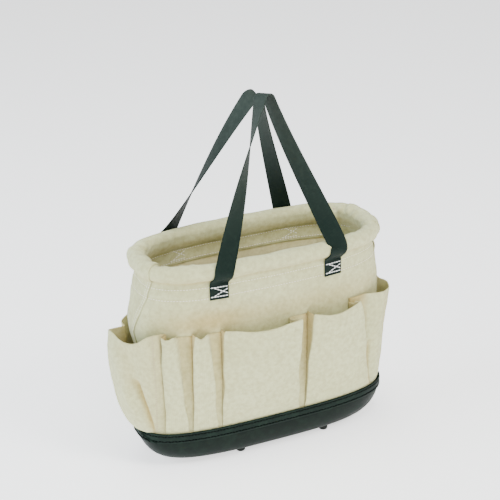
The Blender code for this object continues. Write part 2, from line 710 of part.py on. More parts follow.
def webbing_handle(name, handle):
    """Sewn ends on the body, risers that turn at the sewn ends, and the loop above the rim."""
    riser_place = hinge_place(handle, SEWN_END_TOP)
    loop_place = hinge_place(handle, LOOP_HINGE_HEIGHT)
    riser_hinge = hinge_empty(f"{name}_riser_hinge", riser_place)
    loop_hinge = hinge_empty(f"{name}_loop_hinge", loop_place, riser_hinge)
    gap = SEAM_GAP / 2
    frames = handle_frames(handle)
    for end, way in (("left", -1), ("right", 1)):
        sewn = keep_between(webbing(frames), None, SEWN_END_TOP - gap, way)
        finish_mesh(sewn, f"{name}_{end}_sewn_end", WEBBING_FINISH)
        riser = keep_between(webbing(frames), SEWN_END_TOP + gap, LOOP_HINGE_HEIGHT - gap, way)
        riser = finish_mesh(riser, f"{name}_{end}_riser", WEBBING_FINISH)
        hang_on(riser, riser_hinge, riser_place)
    loop = keep_between(webbing(frames), LOOP_HINGE_HEIGHT + gap, None, 0)
    loop = finish_mesh(loop, f"{name}_handle_loop", WEBBING_FINISH)
    hang_on(loop, loop_hinge, loop_place)


def slide_over_origin():
    """Slide everything along X until the middle of the bag's box is over the origin."""
    bpy.context.view_layer.update()
    reached = [(piece.matrix_world @ vertex.co).x for piece in bpy.context.scene.objects
               if piece.type == "MESH" for vertex in piece.data.vertices]
    middle = (min(reached) + max(reached)) / 2
    for item in bpy.context.scene.objects:
        if item.parent is None:
            item.location.x -= middle


def main():
    for item in list(bpy.data.objects):
        bpy.data.objects.remove(item, do_unlink=True)
    base_tray()
    base_band()
    canvas_floor()
    feet()
    canvas_body()
    rim_rope()
    pockets()
    webbing_handle("front", FRONT_HANDLE)
    webbing_handle("back", BACK_HANDLE)
    slide_over_origin()


main()
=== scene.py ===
"""Dressed model of an oval canvas tool bucket: sewn canvas, a moulded base and webbing handles."""
import math
from collections import namedtuple

import bmesh
import bpy
import numpy as np
from mathutils import Matrix, Vector


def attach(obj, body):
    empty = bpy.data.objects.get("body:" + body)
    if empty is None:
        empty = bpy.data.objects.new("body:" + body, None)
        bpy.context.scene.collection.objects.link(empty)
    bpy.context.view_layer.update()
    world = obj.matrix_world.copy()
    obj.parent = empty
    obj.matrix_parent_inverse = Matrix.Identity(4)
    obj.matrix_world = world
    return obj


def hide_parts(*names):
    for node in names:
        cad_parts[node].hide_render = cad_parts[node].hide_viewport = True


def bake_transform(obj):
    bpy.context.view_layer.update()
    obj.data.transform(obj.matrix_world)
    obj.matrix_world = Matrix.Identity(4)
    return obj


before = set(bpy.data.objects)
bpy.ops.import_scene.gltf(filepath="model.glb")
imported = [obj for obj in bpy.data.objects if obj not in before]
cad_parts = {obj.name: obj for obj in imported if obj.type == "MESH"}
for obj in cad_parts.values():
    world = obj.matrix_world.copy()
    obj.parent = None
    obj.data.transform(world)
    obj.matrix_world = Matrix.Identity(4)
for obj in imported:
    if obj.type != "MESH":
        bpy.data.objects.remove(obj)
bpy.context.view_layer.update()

TURN = 2 * math.pi
WELD = 0.00001
NO_SIZE = 1e-9

# Camera, fitted to the photograph
VIEW_HEADING = -23.66
VIEW_HEIGHT_ANGLE = 24.38
VIEW_ROLL = -1.267
VIEW_DISTANCE = 2.15
VIEW_AIM = Vector((-0.0032, 0.0, 0.3249))
VIEW_LENS = 99.2
FILM_WIDTH = 36.0

# The bag's own middle: the origin is under the middle of its box, and its left end hangs out
BAG_MIDDLE = Vector((0.006656, 0.0, 0.0))

# Canvas, seams and the plan outline, as the solids have them
CANVAS_THICKNESS = 0.0012
SEAM_GAP = 0.0003
PLAN_POWER = 3.1
RIM_HALF = np.array((0.381, 0.1548)) / 2
WAIST_HALF = np.array((0.400, 0.157)) / 2
BASE_HALF = np.array((0.4256, 0.1504)) / 2
FOOT_HEIGHT = 0.009
TRAY_DEPTH = 0.056
TRAY_WALL = 0.0022
TRAY_ROUND = np.array((0.040, 0.015))
TRAY_ROUND_HEIGHT = 0.049
BAND_HEIGHT = 0.016
BAND_THICKNESS = 0.0012
HEM_ROLL_RADIUS = 0.0127
HEM_FLAP_DEPTH = 0.035
TRAY_INSET = BAND_THICKNESS + SEAM_GAP
TRAY_FLOOR_INSET = TRAY_INSET + TRAY_WALL
TAIL_DEPTH = 2 * SEAM_GAP + CANVAS_THICKNESS
WALL_INSET = TRAY_FLOOR_INSET + SEAM_GAP + TAIL_DEPTH
WALL_LAP = CANVAS_THICKNESS + SEAM_GAP / 2
BASE_TOP = FOOT_HEIGHT + TRAY_DEPTH
WAIST_HEIGHT = BASE_TOP + 0.138
RIM_HEIGHT = BASE_TOP + 0.273
CREASE_Z = RIM_HEIGHT - math.sqrt(HEM_ROLL_RADIUS ** 2 - WALL_LAP ** 2)
FLAP_BOTTOM_Z = CREASE_Z - HEM_FLAP_DEPTH
POCKET_TOP = BASE_TOP + 0.178

# Handles, with the crest of each loop measured from the middle of the rim
WEBBING_WIDTH = 0.030
WEBBING_THICKNESS = 0.0018
WEBBING_CLEARANCE = 0.0005
SEWN_END_TOP = RIM_HEIGHT - 0.0175
SEWN_END_BOTTOM = SEWN_END_TOP - 0.0275
STRAP_SPLIT = 0.336
Handle = namedtuple("Handle", "side sewn_x leg_x crest crest_radius ridge_heading ridge_tilt "
                              "ridge_ways twist_powers")
HANDLES = {
    "front": Handle(-1, (-0.0955, 0.0955), (-0.0905, 0.1013), (0.0094, -0.019, 0.2443), 0.0082,
                    -75.1, 11.1, (-1, 1), (1.27, 0.5)),
    "back": Handle(1, (-0.1045, 0.0935), (-0.1120, 0.0885), (0.0187, 0.037, 0.2243), 0.0120,
                   -78.9, -22.6, (1, -1), (0.61, 0.5)),
}

# Stitches: pitch, then length and width of the thread, then how far it leans to and fro
STITCHES_AT_ONCE = 40
BAND_STITCH = (0.0052, 0.0054, 0.0019, 0.24)
HEM_STITCH = (0.0046, 0.0034, 0.0011)
END_SEAM_STITCH = (0.0042, 0.0031, 0.0007)
POCKET_SEAM_STITCH = (0.0042, 0.0034, 0.0008)
BOX_STITCH = (0.0042, 0.0046, 0.0018)
BOX_BACK_STITCH = (0.0044, 0.0040, 0.0013)
HEM_STITCH_HEIGHTS = (0.3135, 0.2955)
BAND_STITCH_DROPS = (0.0035, 0.0125)
# Thread on a sewn end, in shares of its half width and half height
SEWN_LINES = (((-1, -1), (1, -1)), ((-1, 1), (1, 1)), ((-0.6, -0.9), (1, 0.5)), ((-0.6, 0.9), (1, -0.5)))
SEWN_HALF_WIDTH = 0.0135
THREAD_LIFT = 0.0001
END_SEAM_INSETS = (0.0022, 0.0065)
SEWN_BOX_HEIGHTS = (0.2980, 0.3155)


def risen(value, start, end):
    """Share of the way from start to end, held between 0 and 1."""
    return np.clip((value - start) / (end - start), 0, 1)


def bump(value, centre, width):
    return np.exp(-((value - centre) / width) ** 2)


def lengths_along(points):
    """Length reached at each point of a line."""
    steps = np.linalg.norm(np.diff(points, axis=0), axis=1)
    return np.concatenate(([0], np.cumsum(steps)))


def raised(points, heights):
    """Plan points with their heights."""
    heights = np.broadcast_to(heights, points.shape[:-1])
    return np.concatenate([points, heights[..., None]], axis=-1)


def paired(first, second):
    """Pairs of two measures, such as places and heights."""
    return np.stack(np.broadcast_arrays(first, second), axis=-1)


def outline_table():
    """Lengths round the waist from the +X end, turning towards the back, and the outline there."""
    angles = np.linspace(0, TURN, 7201)
    units = np.stack([np.cos(angles), np.sin(angles)], axis=1)
    units = np.sign(units) * np.abs(units) ** (2 / PLAN_POWER)
    return lengths_along(units * WAIST_HALF), units


OUTLINE_PLACES, OUTLINE_UNITS = outline_table()
GIRTH = float(OUTLINE_PLACES[-1])


def ring(place, half):
    """Points of a ring of these half sizes, and the outward directions there."""
    place = np.mod(place, GIRTH)
    unit = np.stack([np.interp(place, OUTLINE_PLACES, OUTLINE_UNITS[:, k]) for k in (0, 1)], axis=-1)
    slope = np.sign(unit) * np.abs(unit) ** (PLAN_POWER - 1) / half
    return unit * half, slope / np.linalg.norm(slope, axis=-1, keepdims=True)


def ring_depth(x, half):
    """Distance from the middle to a ring at x."""
    return float(half[1] * (1 - abs(x / half[0]) ** PLAN_POWER) ** (1 / PLAN_POWER))


def wall_half(height):
    """Half sizes of the canvas wall's outside, above the base."""
    height = np.asarray(height, dtype=float)[..., None]
    lip = BASE_HALF - WALL_INSET
    rising = lip + (WAIST_HALF - lip) * (1 - (1 - risen(height, BASE_TOP, WAIST_HEIGHT)) ** 2)
    return rising + (RIM_HALF + WALL_LAP - WAIST_HALF) * risen(height, WAIST_HEIGHT, CREASE_Z) ** 2


def base_ring(inset, angle):
    """Half sizes and height of the rounded base, moved in by inset, at an angle up its round."""
    turn = math.radians(angle)
    tray_in = inset - TRAY_INSET
    half = BASE_HALF - inset - (TRAY_ROUND - tray_in) * (1 - math.sin(turn))
    return half, FOOT_HEIGHT + tray_in + (TRAY_ROUND_HEIGHT - tray_in) * (1 - math.cos(turn))


def place_of_x(x, side, height, depth=0.0):
    """Length round the outline where something depth out from the wall has this x."""
    places = np.linspace(GIRTH / 2, GIRTH if side < 0 else 0, 400)
    point, out = ring(places, wall_half(height))
    return float(np.interp(x, (point + out * depth)[:, 0], places))


def ripples(across, up, seed, length, height, count=9):
    """Soft uneven cloth: a few waves with seeded headings."""
    draw = np.random.default_rng(seed)
    total = np.zeros(np.broadcast(across, up).shape)
    for _ in range(count):
        heading, phase = draw.uniform(0, TURN, 2)
        wave = length * draw.uniform(0.6, 1.8)
        total += np.sin(TURN * (across * math.cos(heading) + up * math.sin(heading)) / wave + phase)
    return height * total / math.sqrt(count)


def fold(across, up, start, end, width):
    """Share of a soft fold that runs along a line, fading over a quarter of it at its ends."""
    run = np.subtract(end, start)
    length = np.linalg.norm(run)
    run = run / length
    along = (across - start[0]) * run[0] + (up - start[1]) * run[1]
    aside = (up - start[1]) * run[0] - (across - start[0]) * run[1]
    fade = risen(along, 0, 0.25 * length) * risen(along, length, 0.75 * length)
    return bump(aside, 0, width) * fade ** 0.5


# Making pieces
def mesh_of(bm, name):
    mesh = bpy.data.meshes.new(name)
    bm.to_mesh(mesh)
    bm.free()
    return mesh


def cloth_grid(name, points, lengths):
    """A grid through rows of points, with their lengths along the cloth as its UV map."""
    rows, columns, _ = points.shape
    bm = bmesh.new()
    bmesh.ops.create_grid(bm, x_segments=columns - 1, y_segments=rows - 1, size=1)
    mesh = mesh_of(bm, name)
    mesh.vertices.foreach_set("co", np.ascontiguousarray(points, dtype=float).ravel())
    corners = np.empty(len(mesh.loops), dtype=np.int32)
    mesh.loops.foreach_get("vertex_index", corners)
    layer = mesh.uv_layers.new(name="cloth")
    layer.uv.foreach_set("vector", lengths.reshape(-1, 2)[corners].astype(np.float32).ravel())
    return mesh


def weld(mesh, reach=WELD, close=False):
    """Merge the doubles of a mesh, and close its open ends where asked."""
    bm = bmesh.new()
    bm.from_mesh(mesh)
    bmesh.ops.remove_doubles(bm, verts=bm.verts, dist=reach)
    if close:
        bmesh.ops.holes_fill(bm, edges=[edge for edge in bm.edges if edge.is_boundary], sides=0)
        bmesh.ops.recalc_face_normals(bm, faces=bm.faces)
    bm.to_mesh(mesh)
    bm.free()


def add(name, data):
    made = bpy.data.objects.new(name, data)
    bpy.context.scene.collection.objects.link(made)
    return made


def link(name, mesh, material, smooth=True):
    mesh.transform(Matrix.Translation(BAG_MIDDLE))
    piece = add(name, mesh)
    mesh.materials.append(material)
    if smooth:
        mesh.shade_smooth()
    return piece


def fix(piece, nodes):
    """The piece rides on the bucket, and stands for these nodes."""
    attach(piece, "bucket")
    if nodes:
        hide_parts(*nodes)


def thicken(piece, thickness):
    solid = piece.modifiers.new("thickness", "SOLIDIFY")
    solid.thickness = thickness
    solid.offset = -1
    return solid


def sheet(name, points, lengths, painted_shade, material, nodes, thickness=CANVAS_THICKNESS, wrap=False):
    """A cloth sheet through rows of points, with its lengths and its shares of painted shade."""
    mesh = cloth_grid(name, points, lengths)
    # Shares of painted shade on the points, read by the canvas material
    shade = mesh.attributes.new("painted_shade", "FLOAT", "POINT")
    shade.data.foreach_set("value", np.broadcast_to(painted_shade, points.shape[:-1]).astype(np.float32).ravel())
    if wrap:
        weld(mesh)
    mesh.update()
    piece = link(name, mesh, material)
    if thickness:
        solid = thicken(piece, thickness)
        # Back faces take the lightened canvas back, which paints light into the shaded insides
        if material is CANVAS:
            mesh.materials.append(CANVAS_BACK_LIGHTENED)
            solid.material_offset = 1
    fix(piece, nodes)
    return piece


class Stitches:
    """Many small stitches gathered in one mesh."""

    def __init__(self, name, material):
        self.name, self.material = name, material
        self.gathered = bmesh.new()

    def row(self, points, normals, pitch, length, width, slant=0.0):
        """Stitches along a line of points, lying flat on the cloth, leaning to and fro by slant."""
        points, normals = np.asarray(points), np.asarray(normals)
        reached = lengths_along(points)
        count = int(reached[-1] / pitch)

        def at(where, values):
            return np.array([np.interp(where, reached, values[:, axis]) for axis in range(3)])
        for first in range(0, count, STITCHES_AT_ONCE):
            bm = bmesh.new()
            for k in range(first, min(first + STITCHES_AT_ONCE, count)):
                middle = (k + 0.5) * reached[-1] / count
                start, end = at(middle - length / 2, points), at(middle + length / 2, points)
                up = Vector(at(middle, normals))
                along = Vector(end - start).normalized()
                along = (along + up.cross(along).normalized() * slant * (-1) ** k).normalized()
                aside = up.cross(along).normalized()
                place = Matrix((along, aside, along.cross(aside))).transposed().to_4x4()
                place.translation = Vector((start + end) / 2)
                size = Matrix.Diagonal((length, width, width * 0.8, 1))
                bmesh.ops.create_uvsphere(bm, u_segments=6, v_segments=4, radius=0.5,
                                          matrix=place @ size @ Matrix.Rotation(TURN / 4, 4, "Y"))
            part = mesh_of(bm, "part")
            self.gathered.from_mesh(part)
            bpy.data.meshes.remove(part)

    def finish(self):
        piece = link(self.name, mesh_of(self.gathered, self.name), self.material)
        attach(piece, "bucket")


# Finishes
class Finish:
    """A material under construction."""

    def __init__(self, name, colour, roughness, **settings):
        self.material = bpy.data.materials.new(name)
        self.material.use_nodes = True
        self.tree = self.material.node_tree
        self.shader = self.tree.nodes["Principled BSDF"]
        self.fill(self.shader, Base_Color=(*colour, 1), Roughness=roughness, **settings)

    def fill(self, node, **values):
        """Set what these names mean on a node, or else its sockets of these names."""
        for key, value in values.items():
            if hasattr(node, key):
                setattr(node, key, value)
            else:
                node.inputs[key.replace("_", " ")].default_value = value
        return node

    def node(self, kind, **values):
        return self.fill(self.tree.nodes.new(kind), **values)

    def feed(self, node, *values):
        """Give a node's open sockets, in turn, what they read or hold, and name its first result."""
        for socket, value in zip([s for s in node.inputs if s.enabled], values):
            if isinstance(value, bpy.types.NodeSocket):
                self.tree.links.new(value, socket)
            else:
                socket.default_value = (*value, 1) if isinstance(value, tuple) else value
        return next(s for s in node.outputs if s.enabled)

    def cloth_uv(self):
        return self.node("ShaderNodeUVMap", uv_map="cloth").outputs["UV"]

    def object_place(self):
        return self.node("ShaderNodeTexCoord").outputs["Object"]

    def noise(self, place, scale, detail=3.0):
        return self.feed(self.node("ShaderNodeTexNoise", Scale=scale, Detail=detail, Roughness=0.55), place)

    def wave(self, place, direction, pitch, distortion):
        """Bands of this pitch; the node's own scale counts twenty to a turn."""
        node = self.node("ShaderNodeTexWave", bands_direction=direction, Scale=TURN / 20 / pitch,
                         Distortion=distortion, Detail_Scale=0.5)
        self.feed(node, place)
        return node.outputs["Fac"]

    def math(self, operation, first, second):
        return self.feed(self.node("ShaderNodeMath", operation=operation), first, second)

    def weighed(self, first, share, second, other_share):
        """The sum of two patterns, each times its share."""
        return self.math("ADD", self.math("MULTIPLY", first, share),
                         self.math("MULTIPLY", second, other_share))

    def ramp(self, value, low, high, to_low=0.0, to_high=1.0):
        node = self.node("ShaderNodeMapRange", From_Min=low, From_Max=high, To_Min=to_low, To_Max=to_high)
        return self.feed(node, value)

    def mix(self, share, first, second):
        return self.feed(self.node("ShaderNodeMix", data_type="RGBA"), share, first, second)

    def finished(self, colour, roughness=None, height=None, distance=0.0, strength=1.0):
        """The material, with its colour, roughness and bumps joined to the shader."""
        joins = {"Base Color": colour, "Roughness": roughness}
        if height:
            bumps = self.node("ShaderNodeBump", Strength=strength, Distance=distance, Height=0.0)
            self.tree.links.new(height, bumps.inputs["Height"])
            joins["Normal"] = bumps.outputs["Normal"]
        for name, source in joins.items():
            if source:
                self.tree.links.new(source, self.shader.inputs[name])
        return self.material


CANVAS_PITCHES = (("X", 0.0016), ("Y", 0.0014))
WEAVE_SHADOW = (0.38, 0.34, 0.19)
FLECK_COLOUR = (0.30, 0.25, 0.14)
# Tan colours of painted shade, for folds, gussets, creases and the shaded inside
PAINTED_SHADE_COLOURS = ((0.52, 0.41, 0.16), (0.40, 0.30, 0.10))
WEBBING_COLOURS = ((0.001, 0.006, 0.004), (0.004, 0.014, 0.010))
WEBBING_WORN = (0.018, 0.030, 0.023)
# Painted light: paler colour of the straps' upper stretch, rising between these heights
WEBBING_PAINTED_LIGHT = (0.032, 0.044, 0.036)
PAINTED_LIGHT_HEIGHTS = (0.38, 0.55)


def canvas_finish(name, pale, deeper, mottling):
    """Natural canvas of two pale colours with a mottling, and painted shade in tan where the piece's shade
    attribute says so.
    """
    made = Finish(name, pale, 0.92, Sheen_Weight=0.15, Sheen_Roughness=0.6, Specular_IOR_Level=0.2)
    uv, place = made.cloth_uv(), made.object_place()
    warp, weft = (made.wave(uv, way, pitch, 0.6) for way, pitch in CANVAS_PITCHES)
    weave = made.math("MULTIPLY", warp, weft)
    cloudy, mottled = made.noise(place, 9.0, 4.0), made.noise(place, 140.0)
    flecks = made.ramp(made.noise(place, 900.0, 2.0), 0.70, 0.76)
    colour = made.mix(made.ramp(cloudy, 0.35, 0.7), pale, deeper)
    colour = made.mix(made.ramp(mottled, 0.35, 0.7, 0.0, 0.6), colour, mottling)
    colour = made.mix(made.ramp(weave, 0.0, 0.6, 0.16, 0.0), colour, WEAVE_SHADOW)
    colour = made.mix(made.math("MULTIPLY", flecks, 0.5), colour, FLECK_COLOUR)
    # Painted shade: tan mixed in by the piece's shade attribute
    painted_shade_colour = made.mix(made.ramp(mottled, 0.3, 0.75), *PAINTED_SHADE_COLOURS)
    painted_shade = made.node("ShaderNodeAttribute", attribute_name="painted_shade").outputs["Fac"]
    return made.finished(made.mix(painted_shade, colour, painted_shade_colour), made.ramp(mottled, 0.3, 0.7, 0.85, 0.97),
                         made.weighed(weave, 0.6, mottled, 0.8), 0.0006, 0.9)


def webbing_finish():
    """Dark ribbed webbing, lighter where it is worn, with painted light on its upper stretch."""
    made = Finish("dark_green_webbing", (0.024, 0.038, 0.030), 0.75,
                  Sheen_Weight=0.02, Sheen_Roughness=0.45, Specular_IOR_Level=0.12)
    uv, place = made.cloth_uv(), made.object_place()
    weave = made.weighed(made.wave(uv, "Y", 0.0019, 0.3), 0.7, made.wave(uv, "X", 0.0012, 0.5), 0.4)
    worn = made.noise(place, 120.0, 4.0)
    split = made.node("ShaderNodeSeparateXYZ")
    made.feed(split, place)
    upper_share = made.ramp(split.outputs["Z"], *PAINTED_LIGHT_HEIGHTS)
    colour = made.mix(made.ramp(weave, 0.1, 1.0), *WEBBING_COLOURS)
    colour = made.mix(made.ramp(worn, 0.5, 0.8, 0.0, 0.35), colour, WEBBING_WORN)
    # Painted light on the upper straps, made patchy by the worn noise
    painted_light = made.math("MULTIPLY", upper_share, made.ramp(worn, 0.2, 0.7, 0.4, 1))
    return made.finished(made.mix(painted_light, colour, WEBBING_PAINTED_LIGHT),
                         made.ramp(worn, 0.3, 0.8, 0.55, 0.8), weave, 0.0003, 0.6)


def moulded_finish(name, dark, light, roughness):
    made = Finish(name, dark, roughness, Specular_IOR_Level=0.09)
    place = made.object_place()
    grain, scuffs = made.noise(place, 1400.0, 2.0), made.noise(place, 60.0, 5.0)
    height = made.math("ADD", grain, made.math("MULTIPLY", scuffs, 0.5))
    return made.finished(made.mix(made.ramp(scuffs, 0.45, 0.8), dark, light),
                         made.ramp(scuffs, 0.3, 0.75, roughness - 0.08, roughness + 0.14),
                         height, 0.0003, 0.4)


def thread_finish(name, colour, lighter, sheen=0.2, shine=0.4):
    made = Finish(name, colour, 0.7, Sheen_Weight=sheen, Specular_IOR_Level=shine)
    twist = made.noise(made.object_place(), 500.0)
    return made.finished(made.mix(made.ramp(twist, 0.3, 0.7), colour, lighter))


def steel_finish():
    made = Finish("zinc_plate", (0.55, 0.55, 0.56), 0.35, Metallic=1.0)
    worn = made.noise(made.object_place(), 700.0)
    return made.finished(made.mix(worn, (0.62, 0.62, 0.62), (0.40, 0.41, 0.43)),
                         made.ramp(worn, 0.3, 0.7, 0.25, 0.5))


def rope_finish():
    made = Finish("laid_rope", (0.55, 0.45, 0.30), 0.95)
    strands = made.wave(made.object_place(), "DIAGONAL", 0.012, 1.5)
    return made.finished(made.mix(strands, (0.42, 0.32, 0.19), (0.62, 0.52, 0.36)), None, strands, 0.002, 0.8)


CANVAS = canvas_finish("natural_canvas", (0.67, 0.69, 0.39), (0.60, 0.61, 0.32), (0.43, 0.41, 0.20))
# Back of the cloth, seen on the shaded insides: paler and more tan than the front, as painted light and warm
# bounce over the shade there
CANVAS_BACK_LIGHTENED = canvas_finish("canvas_back_painted_light", (0.86, 0.80, 0.48), (0.78, 0.71, 0.39), (0.64, 0.56, 0.27))
WEBBING = webbing_finish()
BASE = moulded_finish("dark_green_base", (0.0015, 0.006, 0.004), (0.007, 0.016, 0.011), 0.42)
BAND = moulded_finish("dark_green_band", (0.005, 0.012, 0.009), (0.012, 0.025, 0.018), 0.50)
FOOT = moulded_finish("black_foot", (0.010, 0.013, 0.011), (0.026, 0.030, 0.028), 0.40)
PALE_THREAD = thread_finish("pale_thread", (0.84, 0.83, 0.74), (0.93, 0.92, 0.86))
# Dark brown thread for the left pocket's seam: painted shadow along the seam's ridge
SEAM_SHADOW_THREAD = thread_finish("seam_thread_painted_shadow", (0.42, 0.33, 0.19), (0.52, 0.43, 0.27))
WHITE_THREAD = thread_finish("white_thread", (0.86, 0.87, 0.84), (0.95, 0.95, 0.93))
BLACK_THREAD = thread_finish("black_thread", (0.0005, 0.001, 0.001), (0.002, 0.003, 0.003), 0.0, 0.02)
STEEL = steel_finish()
ROPE = rope_finish()


# Camera, light and floor
def set_camera():
    data = bpy.data.cameras.new("camera")
    data.lens = VIEW_LENS
    data.sensor_width = FILM_WIDTH
    camera = add("camera", data)
    turns = ((VIEW_HEADING, "Z"), (90 - VIEW_HEIGHT_ANGLE, "X"), (VIEW_ROLL, "Z"))
    heading, rise, roll = (Matrix.Rotation(math.radians(angle), 4, axis) for angle, axis in turns)
    place = heading @ rise @ roll
    place.translation = VIEW_AIM + place.col[2].xyz * VIEW_DISTANCE
    camera.matrix_world = place
    bpy.context.scene.camera = camera


# Lights: place, width, power and colour
LIGHTS = {
    "key": ((1.3, -2.0, 2.6), 0.9, 66, (1.0, 0.96, 0.88)),
    "front_fill": ((-0.7, -2.6, 1.0), 1.2, 30, (1.0, 0.98, 0.93)),
    "left_fill": ((-2.2, 0.2, 1.4), 1.4, 62, (0.80, 0.90, 1.0)),
    "mouth_fill": ((0.1, -0.7, 2.0), 0.8, 20, (0.95, 0.98, 1.0)),
    "top_fill": ((-0.2, 0.8, 2.9), 2.0, 44, (0.90, 0.95, 1.0)),
}
ROOM_COLOUR = (0.93, 0.96, 1, 1)
ROOM_LIGHT = 0.38
FLOOR_SIZE = 14
FLOOR_GLOW = 1.3


def set_studio():
    for name, (place, width, power, colour) in LIGHTS.items():
        data = bpy.data.lights.new(name, "AREA")
        data.size = width
        data.energy = power
        data.color = colour
        lamp = add(name, data)
        lamp.location = place
        lamp.rotation_euler = (VIEW_AIM - Vector(place)).to_track_quat("-Z", "Y").to_euler()
    world = bpy.data.worlds.new("studio")
    world.use_nodes = True
    room = world.node_tree.nodes["Background"].inputs
    room["Color"].default_value = ROOM_COLOUR
    room["Strength"].default_value = ROOM_LIGHT
    bpy.context.scene.world = world
    paper = Finish("studio_floor", (0.93, 0.93, 0.93), 0.9,
                   Emission_Color=(1, 1, 1, 1), Emission_Strength=FLOOR_GLOW)
    bm = bmesh.new()
    bmesh.ops.create_grid(bm, x_segments=1, y_segments=1, size=FLOOR_SIZE)
    link("floor", mesh_of(bm, "floor"), paper.material, smooth=False)


# Base
TRAY_COLUMNS = 320


def tray():
    """Moulded tray: a flat bottom, a round, upright walls with a soft lip, and its inside."""
    flat, low = base_ring(TRAY_INSET, 0)
    inner, high = base_ring(TRAY_FLOOR_INSET, 0)
    side, lip = BASE_HALF - TRAY_INSET, TRAY_WALL / 2
    rings = [(flat * share, low) for share in (0, 0.25, 0.5, 0.75, 0.9)]
    rings += [base_ring(TRAY_INSET, angle) for angle in range(0, 91, 9)]
    rings += [(side, BASE_TOP - 4 * lip), (side, BASE_TOP - lip)]
    rings += [(side - lip * (1 - math.cos(a)), BASE_TOP - lip + lip * math.sin(a))
              for a in np.radians(range(30, 151, 30))]
    rings += [(side - TRAY_WALL, BASE_TOP - lip), (side - TRAY_WALL, BASE_TOP - 4 * lip)]
    rings += [base_ring(TRAY_FLOOR_INSET, angle) for angle in range(90, -1, -9)]
    rings += [(inner * share, high) for share in (0.75, 0.4, 0)]
    halves, heights = (np.array(part)[:, None] for part in zip(*rings))
    place = np.linspace(0, GIRTH, TRAY_COLUMNS + 1)
    points, _ = ring(place, np.maximum(halves, NO_SIZE))
    sheet("moulded_tray", raised(points, heights), paired(place, heights), 0.0, BASE,
          ["base_tray"], thickness=0, wrap=True)


BAND_LAP = 0.020
BAND_START = GIRTH / 2 - 0.012
BAND_LENGTH = GIRTH + BAND_LAP
BAND_STEP = 0.004
BAND_SLANT = 0.045
BAND_PROUD = 0.0001
BAND_RISE = 0.0004
BAND_ROWS = 12
BAND_COLUMNS = 420


def band_points(place, height, proud):
    """Points on the band's outside, from its first end round to its slanting lapped end."""
    lapped = risen(place - BAND_START - GIRTH, -BAND_STEP, 0)
    point, out = ring(place, BASE_HALF)
    depth = lapped * (BAND_THICKNESS + 0.0002) + proud
    return raised(point + out * depth[..., None], height), raised(out, 0.0)


def band():
    """Strip sewn round the lip, lapping over its own start at the left end."""
    drop = np.linspace(1, 0, BAND_ROWS + 1)[:, None]
    height = BASE_TOP + BAND_RISE - BAND_HEIGHT * drop
    place = BAND_START + np.linspace(0, 1, BAND_COLUMNS + 1) * (BAND_LENGTH + BAND_SLANT * drop)
    pulled = sum(bump(height, BASE_TOP - drop, 0.0016) for drop in BAND_STITCH_DROPS)
    proud = BAND_PROUD + ripples(place, height, 31, 0.05, 0.00012) - 0.00035 * pulled
    points, _ = band_points(place, height, proud)
    sheet("stitched_band", points, paired(place, height), 0.0, BAND, ["base_band"],
          BAND_THICKNESS)
    end = BAND_START + BAND_LENGTH
    rows = [(np.linspace(BAND_START + 0.002, end + BAND_SLANT * drop / BAND_HEIGHT - 0.004, 900), drop)
            for drop in BAND_STITCH_DROPS]
    slanting = np.linspace(0.15, 0.9, 60)
    rows.append((end + BAND_SLANT * slanting - 0.006, BAND_HEIGHT * slanting))
    stitches = Stitches("band_stitches", BLACK_THREAD)
    for places, drop in rows:
        stitches.row(*band_points(places, BASE_TOP - drop, BAND_PROUD), *BAND_STITCH)
    stitches.finish()


FOOT_ROUND = 32
FOOT_FROM_LEFT = 0.1158
FOOT_FROM_RIGHT = 0.0778
FOOT_FROM_SIDE = 0.0097


def turned(name, profile, centre, material, slot, *nodes):
    bm = bmesh.new()
    corners = [bm.verts.new((radius, 0, height)) for radius, height in profile]
    edges = [bm.edges.new(pair) for pair in zip(corners, corners[1:])]
    bmesh.ops.spin(bm, geom=corners + edges, cent=(0, 0, 0), axis=(0, 0, 1), dvec=(0, 0, 0),
                   angle=TURN, steps=FOOT_ROUND, use_merge=True, use_duplicate=False)
    bmesh.ops.remove_doubles(bm, verts=bm.verts, dist=WELD)
    bmesh.ops.recalc_face_normals(bm, faces=bm.faces)
    bmesh.ops.translate(bm, verts=bm.verts, vec=centre)
    mesh = mesh_of(bm, name)
    piece = link(name, mesh, material)
    mesh.set_sharp_from_angle(angle=math.radians(50))
    fix(piece, nodes)


def feet():
    """Round studs with shanks and peened heads, and washers on the canvas inside."""
    flat, _ = base_ring(TRAY_INSET, 0)
    seat = FOOT_HEIGHT
    floor_top = FOOT_HEIGHT + TRAY_WALL + SEAM_GAP + CANVAS_THICKNESS
    high = floor_top + 0.0016
    low = floor_top + SEAM_GAP
    stud = ((0, 0), (0.0046, 0), (0.0055, 0.0003), (0.0070, 0.0012), (0.0074, 0.0022),
            (0.0075, 0.0035), (0.0075, seat - 0.0012), (0.0072, seat - 0.0006),
            (0.0068, seat - 0.0003), (0, seat - 0.0003))
    head = ((0, high - 0.0003), (0.0045, high - 0.0003), (0.0046, high + 0.0003),
            (0.0040, high + 0.0009), (0.0025, high + 0.0013), (0, high + 0.0014))
    washer = ((0.0028, low), (0.0057, low), (0.0060, low + 0.0003), (0.0060, low + 0.0007),
              (0.0057, low + 0.0010), (0.0028, low + 0.0010), (0.0028, low))
    for row, side in (("front", -1), ("back", 1)):
        for end, x in (("left", FOOT_FROM_LEFT - flat[0]), ("right", flat[0] - FOOT_FROM_RIGHT)):
            name, centre = f"{row}_{end}", (x, side * (flat[1] - FOOT_FROM_SIDE), 0)
            turned(f"{name}_stud", stud, centre, FOOT, "foot", f"{name}_foot")
            turned(f"{name}_rivet_head", head, centre, STEEL, "steel")
            turned(f"{name}_washer_ring", washer, centre, STEEL, "steel", f"{name}_foot_washer")


FLOOR_COLUMNS = 240
FLOOR_LIFT = 0.0012
# Painted shade over the whole canvas bottom inside the bucket
FLOOR_PAINTED_SHADE = 0.2


